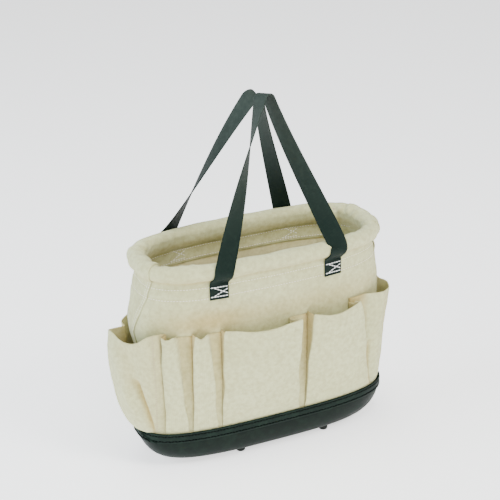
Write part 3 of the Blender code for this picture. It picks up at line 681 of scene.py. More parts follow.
def floor_cloth():
    """Canvas bottom, a little uneven, turned up outside the wall."""
    inset = TRAY_FLOOR_INSET + SEAM_GAP
    rows = [(share, *base_ring(inset, 0)) for share in np.linspace(0, 1, 26)]
    rows += [(1, *base_ring(inset, angle)) for angle in (6, 12, 18)]
    share, halves, heights = (np.array(part)[:, None] for part in zip(*rows))
    point, _ = ring(np.linspace(0, GIRTH, FLOOR_COLUMNS + 1), halves)
    point = point * np.maximum(share, NO_SIZE)[..., None]
    loose = np.sqrt((1 - share) * np.clip(share * 8, 0, 1))
    lift = FLOOR_LIFT + ripples(point[..., 0], point[..., 1], 5, 0.07, 0.0006) * loose
    piece = sheet("canvas_bottom", raised(point, heights + lift), point + 1, FLOOR_PAINTED_SHADE, CANVAS,
                  ["canvas_floor"], thickness=0, wrap=True)
    piece.data.flip_normals()
    thicken(piece, CANVAS_THICKNESS)


# Canvas wall: four pieces of cloth, each from the base over the rope and down inside
STRIP_HEIGHT = 0.235
STRIP_RIM_REACH = 0.040
STRIP_LOW_REACH = 0.010
STRIP_LAP = 0.007
STRIP_PROUD = CANVAS_THICKNESS + 0.0003
ROLL_END_ANGLE = 164
ROLL_END = math.radians(ROLL_END_ANGLE)
FLAP_TOP_Z = RIM_HEIGHT + HEM_ROLL_RADIUS * math.sin(ROLL_END)
FLAP_TOP_DEPTH = WALL_LAP - HEM_ROLL_RADIUS * math.cos(ROLL_END)
FLAP_DEPTH = 2 * CANVAS_THICKNESS + SEAM_GAP
END_BULGE_REACH = (0.178, 0.200)
END_BULGE_HEIGHT = 0.248
END_FOLD_PITCH = 0.0115
END_FOLD_DEPTH = 0.0009
LEFT_BULGE = 0.0135
RIGHT_BULGE = 0.0060
STRAP_SHELTER = 0.024
STITCH_PULL = 0.0006
HEM_PUFF = 0.0007
TUCK_HEIGHT = 0.3195
TUCK_DEPTH = 0.0009
# Small puckers on the inner edge of the front rim, as places round the waist
RIM_PUCKERS = (0.571, 0.589)
PUCKER_HEIGHT = 0.0014


def strip_reach(height):
    """Half width of an end strip, wide at the rim and narrow below."""
    share = risen(height, STRIP_HEIGHT, RIM_HEIGHT)
    return STRIP_LOW_REACH + (STRIP_RIM_REACH - STRIP_LOW_REACH) * share ** 0.72


def wall_profile():
    """Rows of a wall from the base up and over: kind, angle, half sizes, height and cloth length."""
    rows = [("round", 0, *base_ring(WALL_INSET, angle)) for angle in range(18, 90, 9)]
    rows += [("wall", 0, wall_half(z), z) for z in np.linspace(BASE_TOP, CREASE_Z - 0.0005, 100)]
    rows += [("roll", angle, RIM_HALF, RIM_HEIGHT + HEM_ROLL_RADIUS * math.sin(math.radians(angle)))
             for angle in np.linspace(-80, ROLL_END_ANGLE, 34)]
    rows += [("flap", 0, wall_half(z), z) for z in np.linspace(FLAP_TOP_Z, FLAP_BOTTOM_Z, 34)[1:]]
    kinds, angles, halves, heights = (np.array(part) for part in zip(*rows))
    angles = np.radians(angles)
    reach = halves[:, 1] + HEM_ROLL_RADIUS * np.cos(angles) * (kinds == "roll")
    return kinds, angles, halves, heights, lengths_along(np.column_stack([reach, heights]))


WALL_ROWS = wall_profile()
PANEL_COLUMNS = 190
STRIP_COLUMNS = 46


def strap_shelter(x, y):
    """Share that stays of a ripple near the straps, so that the cloth lies flat there."""
    keep = np.ones(np.shape(x))
    for handle in HANDLES.values():
        for strap_x in handle.sewn_x:
            keep = keep * (1 - bump(x, strap_x, STRAP_SHELTER) * (np.sign(y) == handle.side))
    return keep


def end_bulge(place, x, height):
    """The wall's ends swell above the pockets, the left one more, with upright folds in it."""
    left, right = (risen(way * x, *END_BULGE_REACH) ** 1.5 for way in (-1, 1))
    swell = bump(height, END_BULGE_HEIGHT, 0.044) * (LEFT_BULGE * left + RIGHT_BULGE * right)
    folds = np.sin(TURN * place / END_FOLD_PITCH + 14 * height) * bump(height, 0.272, 0.030)
    return swell + END_FOLD_DEPTH * folds * (left + 0.5 * right)


def wall_ripple(place, x, y, height):
    """How far the wall stands off its plain shape."""
    soft = ripples(place, height * 1.4, 3, 0.11, 0.0011) + ripples(place, height, 8, 0.035, 0.0003)
    soft = soft * risen(height, 0.21, 0.26) * risen(height, CREASE_Z, CREASE_Z - 0.010)
    pulled = sum(bump(height, level, 0.0022) for level in HEM_STITCH_HEIGHTS)
    puffed = bump(height, sum(HEM_STITCH_HEIGHTS) / 2, 0.006)
    tuck = bump(height, TUCK_HEIGHT, 0.0035)
    loose = soft - STITCH_PULL * pulled + HEM_PUFF * puffed
    return loose * strap_shelter(x, y) - TUCK_DEPTH * tuck + end_bulge(place, x, height)


def near_ends(place):
    return np.abs(np.cos(TURN * place / GIRTH)) ** 6


def roll_ripple(place, x, y, angle):
    """Unevenness of the rolled hem, gathered a little near its crease and more at its inner ends."""
    soft = ripples(place, angle * 0.012, 12, 0.045, 0.0007, 7)
    gathers = ripples(place, angle * 0.004, 17, 0.014, 0.0005, 6)
    low = np.clip(np.abs(angle - math.radians(89)) / math.radians(170), 0, 1) ** 2
    inner = np.clip(-np.cos(angle) + 0.3, 0, 1)
    puckers = sum(bump(place, spot, 0.0045) for spot in RIM_PUCKERS) * bump(angle, 2.1, 0.6)
    gathers = gathers * (low + near_ends(place) * (1 + 2.8 * inner))
    return (soft + gathers) * strap_shelter(x, y) + PUCKER_HEIGHT * puckers


def flap_ripple(place, height):
    """Slack folds of the cloth that hangs inside the rim, gathered at the ends."""
    slack = ripples(place, height, 23, 0.06, 0.0008)
    puckers = ripples(place, (height - RIM_HEIGHT) * 0.35, 29, 0.020, 0.0012, 6)
    return np.maximum(slack + puckers * near_ends(place), -0.0006)


def wall_painted_shade(kind, x, out_y, height, angle, hanging):
    """Painted shade of a wall piece: along the stitched rows, in the crease under the roll, over the pockets,
    on the roll's inner side and underside and on the cloth inside.
    """
    front = np.clip(-out_y, 0, 1) ** 2 * (kind == "wall")
    over_pockets = bump(height, 0.256, 0.022) * (0.34 + 0.56 * bump(x, -0.115, 0.055))
    crease = bump(height, CREASE_Z - 0.0015, 0.0016) * (0.40 + 0.45 * bump(x, -0.135, 0.03))
    sewn = sum(bump(height, level, 0.0016) for level in HEM_STITCH_HEIGHTS)
    wall = 0.25 * bump(height, CREASE_Z, 0.006) + (crease + over_pockets) * front + 0.18 * sewn
    flap = (0.05 + 0.10 * (1 - hanging)) * (kind == "flap")
    # Painted shade on the roll's inner side and underside
    roll = 0.08 * np.clip(-1.6 * np.cos(angle), 0, 1) ** 1.5 + 0.35 * np.clip(-np.sin(angle), 0, 1)
    return np.clip(np.where(kind == "roll", roll, wall + flap), 0, 1)


def wall_cloth(name, columns, start, end, way, lap, proud, nodes):
    """One cloth of the wall, its edges off start and end by the strip's reach less a lap."""
    kind, angle, halves, height, lengths = (part[:, None] for part in WALL_ROWS)
    rolled = kind == "roll"
    level = np.where(rolled, RIM_HEIGHT, np.maximum(height, BASE_TOP))
    reach = way * (strip_reach(level) - lap)
    place = start + reach + (end - start - 2 * reach) * np.linspace(0, 1, columns + 1)
    point, out = ring(place, halves)
    x, y = point[..., 0], point[..., 1]
    radius = HEM_ROLL_RADIUS + roll_ripple(place, x, y, angle) + proud
    ripple = wall_ripple(place, x, y, height)
    hanging = risen(height, HEM_STITCH_HEIGHTS[0] + 0.002, FLAP_TOP_Z)
    inward = FLAP_DEPTH + (FLAP_TOP_DEPTH - FLAP_DEPTH) * (1 - (1 - hanging) ** 3)
    inward = inward + flap_ripple(place, height) * np.sin(math.pi * hanging)
    depth = np.select(
        [rolled, kind == "wall", kind == "flap"],
        [radius * np.cos(angle), ripple + proud, ripple * (1 - hanging) - inward - proud], 0.0)
    height = np.where(rolled, RIM_HEIGHT + radius * np.sin(angle), height)
    painted_shade = wall_painted_shade(kind, x, out[..., 1], height, angle, hanging)
    points = raised(point + out * depth[..., None], height)
    sheet(name, points, paired(place, lengths), painted_shade, CANVAS, nodes)


def walls():
    for name, start in (("back", 0), ("front", GIRTH / 2)):
        nodes = [f"{name}_panel"] + [f"{name}_{part}_hem" for part in ("left", "middle", "right")]
        wall_cloth(f"{name}_wall", PANEL_COLUMNS, start, start + GIRTH / 2, 1, STRIP_LAP, 0.0, nodes)
    for name, middle in (("right", 0), ("left", GIRTH / 2)):
        nodes = (f"{name}_end_strip", f"{name}_end_hem")
        wall_cloth(f"{name}_end_cloth", STRIP_COLUMNS, middle, middle, -1, 0.0, STRIP_PROUD, nodes)


def wall_line(places, heights, proud):
    """Points and outward directions along a line on the rippled wall."""
    heights = np.broadcast_to(heights, places.shape)
    points, out = ring(places, wall_half(heights))
    depth = wall_ripple(places, points[:, 0], points[:, 1], heights) + proud
    return raised(points + out * depth[:, None], heights), raised(out, 0.0)


def sewn_end_backs():
    """The far side of the box and cross of every sewn end, on the cloth inside."""
    stitches = Stitches("sewn_end_back_stitches", PALE_THREAD)
    middle, reach = np.mean(SEWN_BOX_HEIGHTS), np.ptp(SEWN_BOX_HEIGHTS) / 2
    steps = np.linspace(0, 1, 24)
    for handle in HANDLES.values():
        for strap_x in handle.sewn_x:
            for (x_a, z_a), (x_b, z_b) in SEWN_LINES:
                heights = middle + reach * (z_a + (z_b - z_a) * steps)
                line = strap_x + SEWN_HALF_WIDTH * (x_a + (x_b - x_a) * steps)
                places = np.array([place_of_x(x, handle.side, z) for x, z in zip(line, heights)])
                points, normals = wall_line(places, heights, -FLAP_DEPTH - THREAD_LIFT)
                stitches.row(points, -normals, *BOX_BACK_STITCH)
    stitches.finish()


def wall_stitches():
    """Rows round the hem, outside and inside, and rows down the edges of the end strips."""
    stitches = Stitches("hem_stitches", PALE_THREAD)
    half = GIRTH / 2
    for height in HEM_STITCH_HEIGHTS:
        reach = float(strip_reach(height))
        rows = [(start + reach, start + half - reach, 500, 0.0, 2) for start in (0, half)]
        rows += [(middle - reach, middle + reach, 120, STRIP_PROUD, 3.6) for middle in (0, half)]
        for first, last, count, proud, layers in rows:
            points, normals = wall_line(np.linspace(first, last, count), height, proud)
            stitches.row(points, normals, *HEM_STITCH)
            inward = points - normals * (layers * CANVAS_THICKNESS + SEAM_GAP)
            stitches.row(inward, -normals, *HEM_STITCH)
    stitches.finish()
    stitches = Stitches("end_seam_stitches", PALE_THREAD)
    heights = np.linspace(BASE_TOP + 0.01, CREASE_Z - 0.003, 200)
    for middle in (0, half):
        for way in (-1, 1):
            for inset in END_SEAM_INSETS:
                places = middle + way * (strip_reach(heights) - inset)
                stitches.row(*wall_line(places, heights, STRIP_PROUD + THREAD_LIFT), *END_SEAM_STITCH)
    stitches.finish()


# Pockets: corners as x along the front at shares of the height, x of the seams, and top depths
POCKET_LEVELS = (0.0, 0.33, 0.68, 1.0)
Pocket = namedtuple("Pocket", "left right seams depths bulge sag seed wander")
FRONT_POCKETS = {
    "narrow_pocket_1": Pocket(
        (-0.1829, -0.1845, -0.1868, -0.1885), (-0.1482, -0.1548, -0.1643, -0.1697),
        (-0.1763, -0.1584, -0.1396), (0.014, 0.015), 0.0020, 0.004, 41, (0.0009, 0.0014)),
    "narrow_pocket_2": Pocket(
        (-0.1412, -0.1427, -0.1432, -0.1400), (-0.1001, -0.1079, -0.1132, -0.1213),
        (-0.1396, -0.1122, -0.0949), (0.016, 0.016), 0.0025, 0.005, 42, (0.0007, 0.0012)),
    "wide_pocket_1": Pocket(
        (-0.0934, -0.0952, -0.0950, -0.0922), (0.0396, 0.0317, 0.0328, 0.0304),
        (-0.0949, 0.0175, 0.0498), (0.012, 0.026), 0.0030, 0.008, 43, (0.0016, 0.0016)),
    "wide_pocket_2": Pocket(
        (0.0491, 0.0480, 0.0491, 0.0531), (0.1765, 0.1642, 0.1541, 0.1411),
        (0.0498, 0.1259, 0.1259), (0.020, 0.018), 0.0040, 0.009, 44, (0.0016, 0.0012)),
}
FIRST_POCKET = FRONT_POCKETS["narrow_pocket_1"]
LAST_POCKET = FRONT_POCKETS["wide_pocket_2"]
POCKET_ROWS = 84
GUSSET_COLUMNS = 12
LAYER_COLUMNS = 10
FACE_STRETCHES = 8
FACE_CELL = 0.0022
GUSSET_DROP = 0.002
LAYER_DROP = 0.004
LAST_LAYER_REACH = 0.0006
POCKET_TAIL = 0.010
POCKET_HEM = 0.0105
POCKET_STITCH_DROP = 0.0088
FLAT_DEPTH = TAIL_DEPTH - SEAM_GAP
# Painted shade across a pleat: in the flat layers and gussets beside the face, none on the face
PLEAT_PAINTED_SHADES = (1.0, 0.9, 0.0, 0.0, 0.55, 0.65, 1.0)
HEIGHTS = np.linspace(BASE_TOP - POCKET_TAIL, POCKET_TOP, POCKET_ROWS + 1)
SHARE = risen(HEIGHTS, BASE_TOP, POCKET_TOP)
OPENED = SHARE ** 0.7


def standing(depth):
    """Depth up a line that stands this far off the wall at the top."""
    return TAIL_DEPTH + (depth - TAIL_DEPTH) * OPENED


def wander(seed, size):
    """A slow sideways wander of a fold up its length."""
    draw = np.random.default_rng(seed)
    first, second = draw.uniform(0, TURN, 2)
    ends = np.clip(SHARE * 4, 0, 1) * np.clip((1.2 - SHARE) * 3, 0, 1)
    return size * (np.sin(TURN * 1.3 * SHARE + first) + 0.6 * np.sin(TURN * 2.7 * SHARE + second)) * ends


def seam_track(base, top):
    """A seam line that runs from the corner's foot to its own place as the pocket opens."""
    return base + (top - base) * SHARE ** 0.6


def track(xs, depths):
    """Plan points (place, depth) up one line of a pocket on the front, from its x."""
    depths = np.broadcast_to(depths, xs.shape)
    rows = zip(xs, np.maximum(HEIGHTS, BASE_TOP), depths)
    return paired([place_of_x(x, -1, level, depth) for x, level, depth in rows], depths)


def soften(values, times):
    """Ease the corners of a row of values, its ends kept."""
    for _ in range(times):
        values[1:-1] = (values[:-2] + 2 * values[1:-1] + values[2:]) / 4
    return values


def bulge_face(lines, bulge):
    """Split the face between the second and third line, and round it outwards."""
    faces = []
    for k in range(FACE_STRETCHES + 1):
        share = k / FACE_STRETCHES
        point = lines[1] + (lines[2] - lines[1]) * share
        point[:, 1] += bulge * math.sin(math.pi * share) ** 0.6 * OPENED
        faces.append(point)
    return [lines[0], *faces, *lines[3:]]


def pocket_cloth(name, lines, counts, drops, seed, painted_shades, wrinkles=(), softened=3):
    """The cloth of one pocket: lines are its plan points, and drops lowers its top at each column."""
    lines = np.stack(lines)
    where = np.interp(np.arange(sum(counts) + 1), np.cumsum([0, *counts]), np.arange(len(lines)))
    before = np.minimum(where.astype(int), len(counts) - 1)
    step = lines[before + 1] - lines[before]
    columns = soften(lines[before] + step * (where - before)[:, None, None], softened)
    place, depth = columns[..., 0].T, columns[..., 1].T
    share = np.linspace(0, 1, POCKET_ROWS + 1)[:, None]
    span = POCKET_TOP - BASE_TOP + POCKET_TAIL - drops
    height = BASE_TOP - POCKET_TAIL + span * share
    from_top = span * (1 - share)
    opened = risen(height, BASE_TOP, POCKET_TOP)
    across = np.broadcast_to(lengths_along(columns[:, -1]), height.shape)
    wave = ripples(across, height, seed, 0.055, 0.0012) + ripples(across, height, seed + 7, 0.022, 0.0004)
    # Painted shade, stronger towards the top where the pleats stand open, and more in the creases
    shade = painted_shades * (0.35 + 0.65 * opened)
    for start, end, width, size, darker in wrinkles:
        crease = fold(across, height, start, end, width)
        wave = wave - size * crease
        shade = shade + darker * crease
    off_wall = np.clip((depth - TAIL_DEPTH) / 0.006, 0, 1)
    hem = 0.0005 * risen(from_top, POCKET_HEM + 0.0015, POCKET_HEM)
    pulled = 0.0004 * bump(from_top, POCKET_STITCH_DROP, 0.0016)
    depth = depth + wave * off_wall * np.sqrt(opened) + (hem - pulled) * opened
    depth = np.where(height < BASE_TOP, TAIL_DEPTH, np.maximum(depth, 0.0004))
    point, out = ring(place, wall_half(np.maximum(height, BASE_TOP)))
    shade = shade + bump(from_top, 0.0, 0.0015) * 0.15
    points = raised(point + out * depth[..., None], height)
    if name.startswith("back"):
        points = points * (-1, -1, 1)
    sheet(f"{name}_cloth", points, paired(across, height), np.clip(shade, 0, 1), CANVAS, [name])
    return points


def front_pockets():
    """The pleated pockets of the front, and the same on the back."""
    forms = list(FRONT_POCKETS.values())
    for index, (name, form) in enumerate(FRONT_POCKETS.items()):
        left, right = (
            np.polyval(np.polyfit(POCKET_LEVELS, corner, 3), SHARE) + wander(form.seed + 50 * k, size)
            for k, (corner, size) in enumerate(zip((form.left, form.right), form.wander)))
        seam = seam_track(form.right[0], form.seams[1])
        end = seam + LAST_LAYER_REACH
        if index + 1 < len(forms):
            end = seam_track(forms[index + 1].left[0], form.seams[2])
        lines = [track(seam_track(form.left[0], form.seams[0]), FLAT_DEPTH),
                 track(left, standing(form.depths[0])), track(right, standing(form.depths[1])),
                 track(seam, FLAT_DEPTH), track(end, FLAT_DEPTH)]
        lines = bulge_face(lines, form.bulge)
        face = max(2, int((form.right[0] - form.left[0]) / FACE_CELL / FACE_STRETCHES))
        counts = [GUSSET_COLUMNS] + [face] * FACE_STRETCHES + [GUSSET_COLUMNS, LAYER_COLUMNS]
        column = np.arange(sum(counts) + 1)
        first, last = GUSSET_COLUMNS, GUSSET_COLUMNS + face * FACE_STRETCHES
        drops = form.sag * np.sin(math.pi * risen(column, first, last)) ** 1.2
        drops = drops + GUSSET_DROP * ((column < first) | (column > last))
        drops = drops + LAYER_DROP * (column > last + GUSSET_COLUMNS / 2)
        spots = (0, first - 2, first, last, last + GUSSET_COLUMNS, column[-1] - 3, column[-1] - 1)
        painted_shades = np.interp(column, spots, PLEAT_PAINTED_SHADES)
        for side, seed in (("front", form.seed), ("back", form.seed + 100)):
            pocket_cloth(f"{side}_{name}", lines, counts, drops, seed, painted_shades)


# Right end pocket: where its cloth leaves the wall, then shares of its belly, with depths
RIGHT_START = LAST_POCKET.seams[2]
RIGHT_CORNER_X = 0.197
RIGHT_LEAVING = ((0.155, 0.0045), (0.176, 0.014), (0.191, 0.021))
RIGHT_BELLY = ((0.18, 0.0225), (0.36, 0.0225), (0.55, 0.0225), (0.74, 0.0215), (0.90, 0.0190))
RIGHT_SEAM_X = (-0.1950, -0.1980)
RIGHT_SEAM_DEPTHS = (0.0165, 0.016)
RIGHT_SAG = 0.006
RIGHT_COUNTS = (8, 8, 6, 12, 12, 12, 12, 10, 8, 14)
RIGHT_FAR_COLUMNS = (40, 56)
RIGHT_FAR_DROP = 0.009
# Deep folds: start and end as length round the cloth and height, width, depth and painted shade in the crease
RIGHT_WRINKLES = (
    ((0.0432, 0.158), (0.0305, 0.058), 0.0030, 0.0075, 1.0),
    ((0.0640, 0.245), (0.0800, 0.120), 0.0026, 0.0018, 0.35),
    ((0.0700, 0.245), (0.0860, 0.120), 0.0026, 0.0014, 0.25))
LEFT_WRINKLES = (
    ((0.1700, 0.166), (0.1930, 0.058), 0.0034, 0.0130, 1.0),
    ((0.1560, 0.150), (0.1780, 0.075), 0.0070, -0.0050, 0.0),
    ((0.1560, 0.225), (0.1680, 0.140), 0.0090, 0.0030, 0.20),
    ((0.1350, 0.200), (0.1250, 0.110), 0.0120, 0.0035, 0.05))
# Left end pocket: x, y and height of its top edge from the back, and how soon each place opens
LEFT_TOP_EDGE = (
    (-0.1620, 0.0790, 0.240, 0.7), (-0.1800, 0.0690, 0.234, 0.7), (-0.1978, 0.0554, 0.228, 0.6),
    (-0.2116, 0.0469, 0.225, 0.5), (-0.2085, 0.0345, 0.222, 0.6), (-0.2400, 0.0287, 0.2255, 0.3),
    (-0.2426, 0.0121, 0.2319, 0.3), (-0.2406, 0.0015, 0.2314, 0.3), (-0.2374, -0.0100, 0.2277, 0.3),
    (-0.2329, -0.0227, 0.2261, 0.32), (-0.2258, -0.0375, 0.2275, 0.36),
    (-0.2187, -0.0498, 0.2343, 0.42), (-0.2128, -0.0567, 0.2422, 0.52),
    (-0.2065, -0.0619, 0.2474, 0.65), (-0.2003, -0.0651, 0.2495, 0.8))
LEFT_SEAM_FOOT = (-0.1935, -0.0430)
LEFT_BELLY = 0.30
LEFT_SEAM = len(LEFT_TOP_EDGE)
LEFT_COUNTS = (8, 8, 8, 6, 6, 10, 7, 5, 5, 6, 7, 6, 5, 4, 4, 12)
# Painted shade across the left end pocket, at these columns: in the pleat, the folds and beside its seam
LEFT_PAINTED_SHADES = (0.2, 0.8, 0.0, 0.05, 0.22, 0.22, 0.35, 0.9)
END_POCKET_SEED = 61
SEAM_FIRST_ROW = 6


def off_wall_at(x, y, height):
    """Length round the outline, and distance off the wall, of a point in plan."""
    places = np.linspace(0, GIRTH, 1441)
    points, _ = ring(places, wall_half(height))
    away = np.hypot(points[:, 0] - x, points[:, 1] - y)
    return float(places[np.argmin(away)]), float(away.min())


def right_end_pocket():
    """Pocket round the right end: flat on the wall at first, then standing well off it."""
    begin = seam_track(LAST_POCKET.right[0], RIGHT_START)
    lines = [track(begin, FLAT_DEPTH)]
    for k, (x, depth) in enumerate(RIGHT_LEAVING):
        base_x = begin + (RIGHT_CORNER_X - begin) * (k + 1) / 4
        lines.append(track(base_x + (x - base_x) * SHARE, standing(depth)))
    corner = lines[-1][:, 0]
    seam_base = place_of_x(RIGHT_SEAM_X[0], -1, BASE_TOP, TAIL_DEPTH)
    seam_top = place_of_x(RIGHT_SEAM_X[1], -1, POCKET_TOP, RIGHT_SEAM_DEPTHS[1])
    end_base = place_of_x(FIRST_POCKET.left[0], -1, BASE_TOP, TAIL_DEPTH)
    end_top = place_of_x(FIRST_POCKET.seams[0], -1, POCKET_TOP, FLAT_DEPTH)
    seam = seam_base + (seam_top - seam_base) * SHARE
    seam, last = (corner + (line + GIRTH / 2 - corner) % GIRTH
                  for line in (seam, seam_track(end_base, end_top)))
    lines += [paired(corner + (seam - corner) * part, standing(depth)) for part, depth in RIGHT_BELLY]
    lines += [paired(seam, standing(RIGHT_SEAM_DEPTHS[0])), paired(last, FLAT_DEPTH)]
    total, back = sum(RIGHT_COUNTS), RIGHT_COUNTS[-1]
    column = np.arange(total + 1)
    drops = RIGHT_SAG * np.sin(math.pi * risen(column, RIGHT_COUNTS[0], total - back))
    drops = drops + RIGHT_SAG * (column > total - 8) + RIGHT_FAR_DROP * risen(column, *RIGHT_FAR_COLUMNS)
    # Painted shade: darkest in the gap beside the last front pocket, none on the belly, more towards the far
    # seam
    painted_shades = np.interp(column, (0, 6, 12, total - back, total - 10, total), (1.0, 0.9, 0, 0, 0.35, 0.7))
    pocket_cloth("right_end_pocket", lines, RIGHT_COUNTS, drops, END_POCKET_SEED, painted_shades, RIGHT_WRINKLES, 4)


def left_end_pocket():
    """Pocket round the left end, which hangs open in a belly with a pleat behind it."""
    first_base = place_of_x(-LAST_POCKET.right[0], 1, BASE_TOP, FLAT_DEPTH)
    first_top = place_of_x(-RIGHT_START, 1, POCKET_TOP, FLAT_DEPTH)
    last_base = place_of_x(FIRST_POCKET.left[0], -1, BASE_TOP, FLAT_DEPTH)
    last_top = place_of_x(FIRST_POCKET.seams[0], -1, POCKET_TOP, FLAT_DEPTH)
    spots = [off_wall_at(x, y, POCKET_TOP) for x, y, _, _ in LEFT_TOP_EDGE]
    seam_base, _ = off_wall_at(*LEFT_SEAM_FOOT, BASE_TOP)
    lines = [paired(seam_track(first_base, first_top), FLAT_DEPTH)]
    for (place, depth), (_, _, _, soon) in zip(spots, LEFT_TOP_EDGE):
        part = (place - first_top) / (spots[-1][0] - first_top)
        base_place = first_base + (seam_base - first_base) * part
        full = 1 + LEFT_BELLY * np.sin(math.pi * SHARE) * (soon < 0.35)
        lines.append(paired(base_place + (place - base_place) * SHARE ** 0.8,
                            TAIL_DEPTH + (depth - TAIL_DEPTH) * SHARE ** soon * full))
    lines.append(paired(seam_track(last_base, last_top), FLAT_DEPTH))
    at = np.cumsum([0, *LEFT_COUNTS])
    column = np.arange(at[-1] + 1)
    tops = [POCKET_TOP] + [top for _, _, top, _ in LEFT_TOP_EDGE] + [POCKET_TOP]
    drops = soften(POCKET_TOP - np.interp(column, at, tops), 4)
    seam = at[LEFT_SEAM]
    painted_shades = np.interp(column, (*at[[4, 5, 6, 9, 12]], seam, seam + 4, at[-1]), LEFT_PAINTED_SHADES)
    points = pocket_cloth("left_end_pocket", lines, LEFT_COUNTS, drops, END_POCKET_SEED, painted_shades,
                          LEFT_WRINKLES, 2)
    # The dark thread paints the shadow line along this seam
    stitches = Stitches("left_pocket_seam_stitches", SEAM_SHADOW_THREAD)
    for line in (points[SEAM_FIRST_ROW:, seam], points[SEAM_FIRST_ROW:, seam - 1]):
        _, out = ring(lines[LEFT_SEAM][SEAM_FIRST_ROW:, 0], wall_half(line[:, 2]))
        normals = raised(out, 0.0)
        stitches.row(line + normals * 2 * THREAD_LIFT, normals, *POCKET_SEAM_STITCH)
    stitches.finish()


# Handles
def ridge_of(handle):
    heading, tilt = math.radians(handle.ridge_heading), math.radians(handle.ridge_tilt)
    return Vector((math.cos(tilt) * math.cos(heading), math.cos(tilt) * math.sin(heading),
                   math.sin(tilt)))


def leg_route(handle, end):
    """Centre line of one leg from its sewn end to the crest, with the share of its twist."""
    side, sewn_x, leg_x = handle.side, handle.sewn_x[end], handle.leg_x[end]
    lift = WEBBING_THICKNESS / 2 + SEAM_GAP + WEBBING_CLEARANCE
    reach = HEM_ROLL_RADIUS + lift

    def beside_wall(height):
        return ring_depth(sewn_x, wall_half(height) + lift)
    start = Vector((beside_wall(SEWN_END_TOP) - ring_depth(sewn_x, RIM_HALF), SEWN_END_TOP - RIM_HEIGHT))
    touch = math.atan2(start.y, start.x) + math.acos(min(1, reach / start.length))
    crest = Vector(handle.crest) + Vector((0, 0, RIM_HEIGHT))
    leave = math.atan((ring_depth(leg_x, RIM_HALF) + reach - side * crest.y) / (crest.z - RIM_HEIGHT))
    route = [(Vector((sewn_x, side * beside_wall(height), height)), None)
             for height in np.linspace(SEWN_END_BOTTOM, SEWN_END_TOP, 14)]
    for k in range(17):
        share = k / 16
        angle = touch + (leave - touch) * share
        x = sewn_x + (leg_x - sewn_x) * (share + 1) / 2
        out = ring_depth(x, RIM_HALF) + reach * math.cos(angle)
        route.append((Vector((x, side * out, RIM_HEIGHT + reach * math.sin(angle))), None))
    base = route[-1][0]
    ridge = ridge_of(handle)
    level = ridge.cross(Vector((0, 0, 1))).normalized()
    level = -level if level.x < 0 else level
    up = level.cross(ridge).normalized()
    up = -up if up.z < 0 else up
    way = (-1, 1)[end]
    radius = handle.crest_radius
    middle = crest - up * radius
    drop = base - crest
    slope = math.atan2(-drop.dot(up), drop.dot(level) * way)

    def crest_point(angle):
        return middle + level * way * radius * math.sin(angle) + up * radius * math.cos(angle)
    top = crest_point(slope)
    top_pull = level * way * math.cos(slope) - up * math.sin(slope)
    third = (top - base).length / 3
    pulls = (base, base + (top - base).normalized() * third, top + top_pull * third, top)
    for k in range(1, 81):
        share = k / 80
        rest = 1 - share
        point = (pulls[0] * rest ** 3 + pulls[1] * 3 * rest ** 2 * share
                 + pulls[2] * 3 * rest * share ** 2 + pulls[3] * share ** 3)
        route.append((point, share ** handle.twist_powers[end]))
    return route + [(crest_point(slope * (1 - k / 8)), 1.0) for k in range(1, 9)]


def squared_to(vector, direction):
    return (vector - direction * vector.dot(direction)).normalized()


def leg_frames(handle, end):
    """Centre, across and outward directions at each station of one leg, going up."""
    route = leg_route(handle, end)
    half = wall_half(SEWN_END_TOP)
    before, after = (handle.side * ring_depth(handle.sewn_x[end] + way * WEBBING_WIDTH / 2, half)
                     for way in (-1, 1))
    flat = Vector((WEBBING_WIDTH, after - before, 0)).normalized() * -handle.side
    final = ridge_of(handle) * handle.ridge_ways[end]
    frames = []
    for k, (centre, share) in enumerate(route):
        ahead = route[min(k + 1, len(route) - 1)][0]
        behind = route[max(k - 1, 0)][0]
        along = (ahead - behind).normalized()
        across = squared_to(flat, along)
        if share is not None:
            finish = squared_to(final, along)
            turn = math.atan2(along.dot(across.cross(finish)), across.dot(finish)) * share
            across = across * math.cos(turn) + along.cross(across) * math.sin(turn)
        frames.append((centre, across, across.cross(along).normalized()))
    return frames


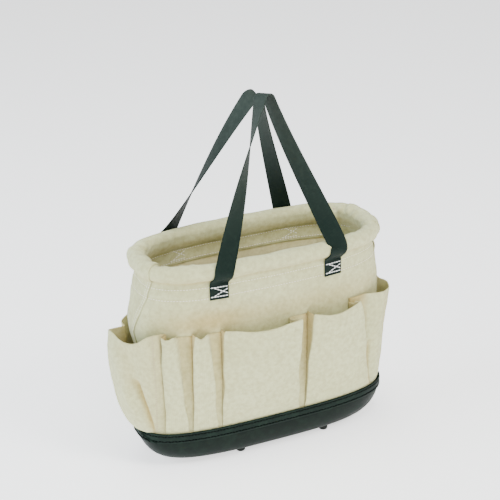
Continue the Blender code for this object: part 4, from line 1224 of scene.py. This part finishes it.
def strap_piece(name, frames):
    """Woven strap through the frames, with rounded edges a little thicker than its middle."""
    half_width, half_thick = WEBBING_WIDTH / 2, WEBBING_THICKNESS / 2
    face = [(x, half_thick * (0.86 + 0.14 * abs(x / half_width) ** 6))
            for x in np.linspace(-half_width + 0.0009, half_width - 0.0009, 15)]
    edge = [(half_width - 0.0002, half_thick * 0.75), (half_width, 0),
            (half_width - 0.0002, -half_thick * 0.75)]
    profile = np.array(face + edge + [(x, -y) for x, y in face[::-1]] + [(-x, -y) for x, y in edge])
    around = lengths_along(profile)
    around = np.append(around, around[-1] + 0.001)[:, None]
    x, y = np.append(profile, profile[:1], axis=0).T[..., None, None]
    centres, acrosses, outs = (np.array(part) for part in zip(*frames))
    mesh = cloth_grid(name, centres + acrosses * x + outs * y, paired(lengths_along(centres), around))
    weld(mesh, WELD / 2, close=True)
    piece = link(name, mesh, WEBBING)
    mesh.set_sharp_from_angle(angle=math.radians(60))
    return piece


def cut_frames(frames, height):
    """Split a leg's frames, going up, at a level; the cut frame is shared."""
    k = next(k for k, (centre, _, _) in enumerate(frames) if centre.z >= height)
    a, b = frames[k - 1], frames[k]
    share = (height - a[0].z) / (b[0].z - a[0].z)
    cut = tuple(u.lerp(v, share) for u, v in zip(a, b))
    return frames[:k] + [cut], [cut] + frames[k:]


def box_stitches(name, frames):
    """Two rows and a cross of thick white thread on a sewn end."""
    (low, across, out), (high, _, _) = frames[0], frames[12]
    middle = (low + high) / 2
    rise = (high - low).normalized()
    half_height = (high - low).length / 2 - 0.0050

    def corner(x, y):
        return np.array(middle + across * x * SEWN_HALF_WIDTH + rise * y * half_height
                        + out * (WEBBING_THICKNESS / 2 + THREAD_LIFT))
    stitches = Stitches(name, WHITE_THREAD)
    for a, b in SEWN_LINES:
        stitches.row([corner(*a), corner(*b)], [np.array(out)] * 2, *BOX_STITCH)
    stitches.finish()


def handles():
    """Two straps, each with a foot and a riser at both ends and one loop between them."""
    for name, handle in HANDLES.items():
        upper = []
        for index, end in enumerate(("left", "right")):
            low, high = cut_frames(leg_frames(handle, index), STRAP_SPLIT)
            upper.append(high)
            foot = strap_piece(f"{name}_{end}_strap_foot", low)
            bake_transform(foot)
            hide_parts(f"{name}_{end}_sewn_end", f"{name}_{end}_riser")
            box_stitches(f"{name}_{end}_box_stitches", low)
        left, right = upper
        right = [(centre, -across, out) for centre, across, out in right]
        loop = strap_piece(f"{name}_strap_loop", left + right[-2::-1])
        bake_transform(loop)
        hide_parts(f"{name}_handle_loop")


def rope_hoop():
    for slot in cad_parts["rim_rope"].material_slots:
        slot.material = ROPE


for make in (set_camera, set_studio, tray, band, feet, floor_cloth, walls, wall_stitches, sewn_end_backs,
             front_pockets, right_end_pocket, left_end_pocket, handles, rope_hoop):
    make()
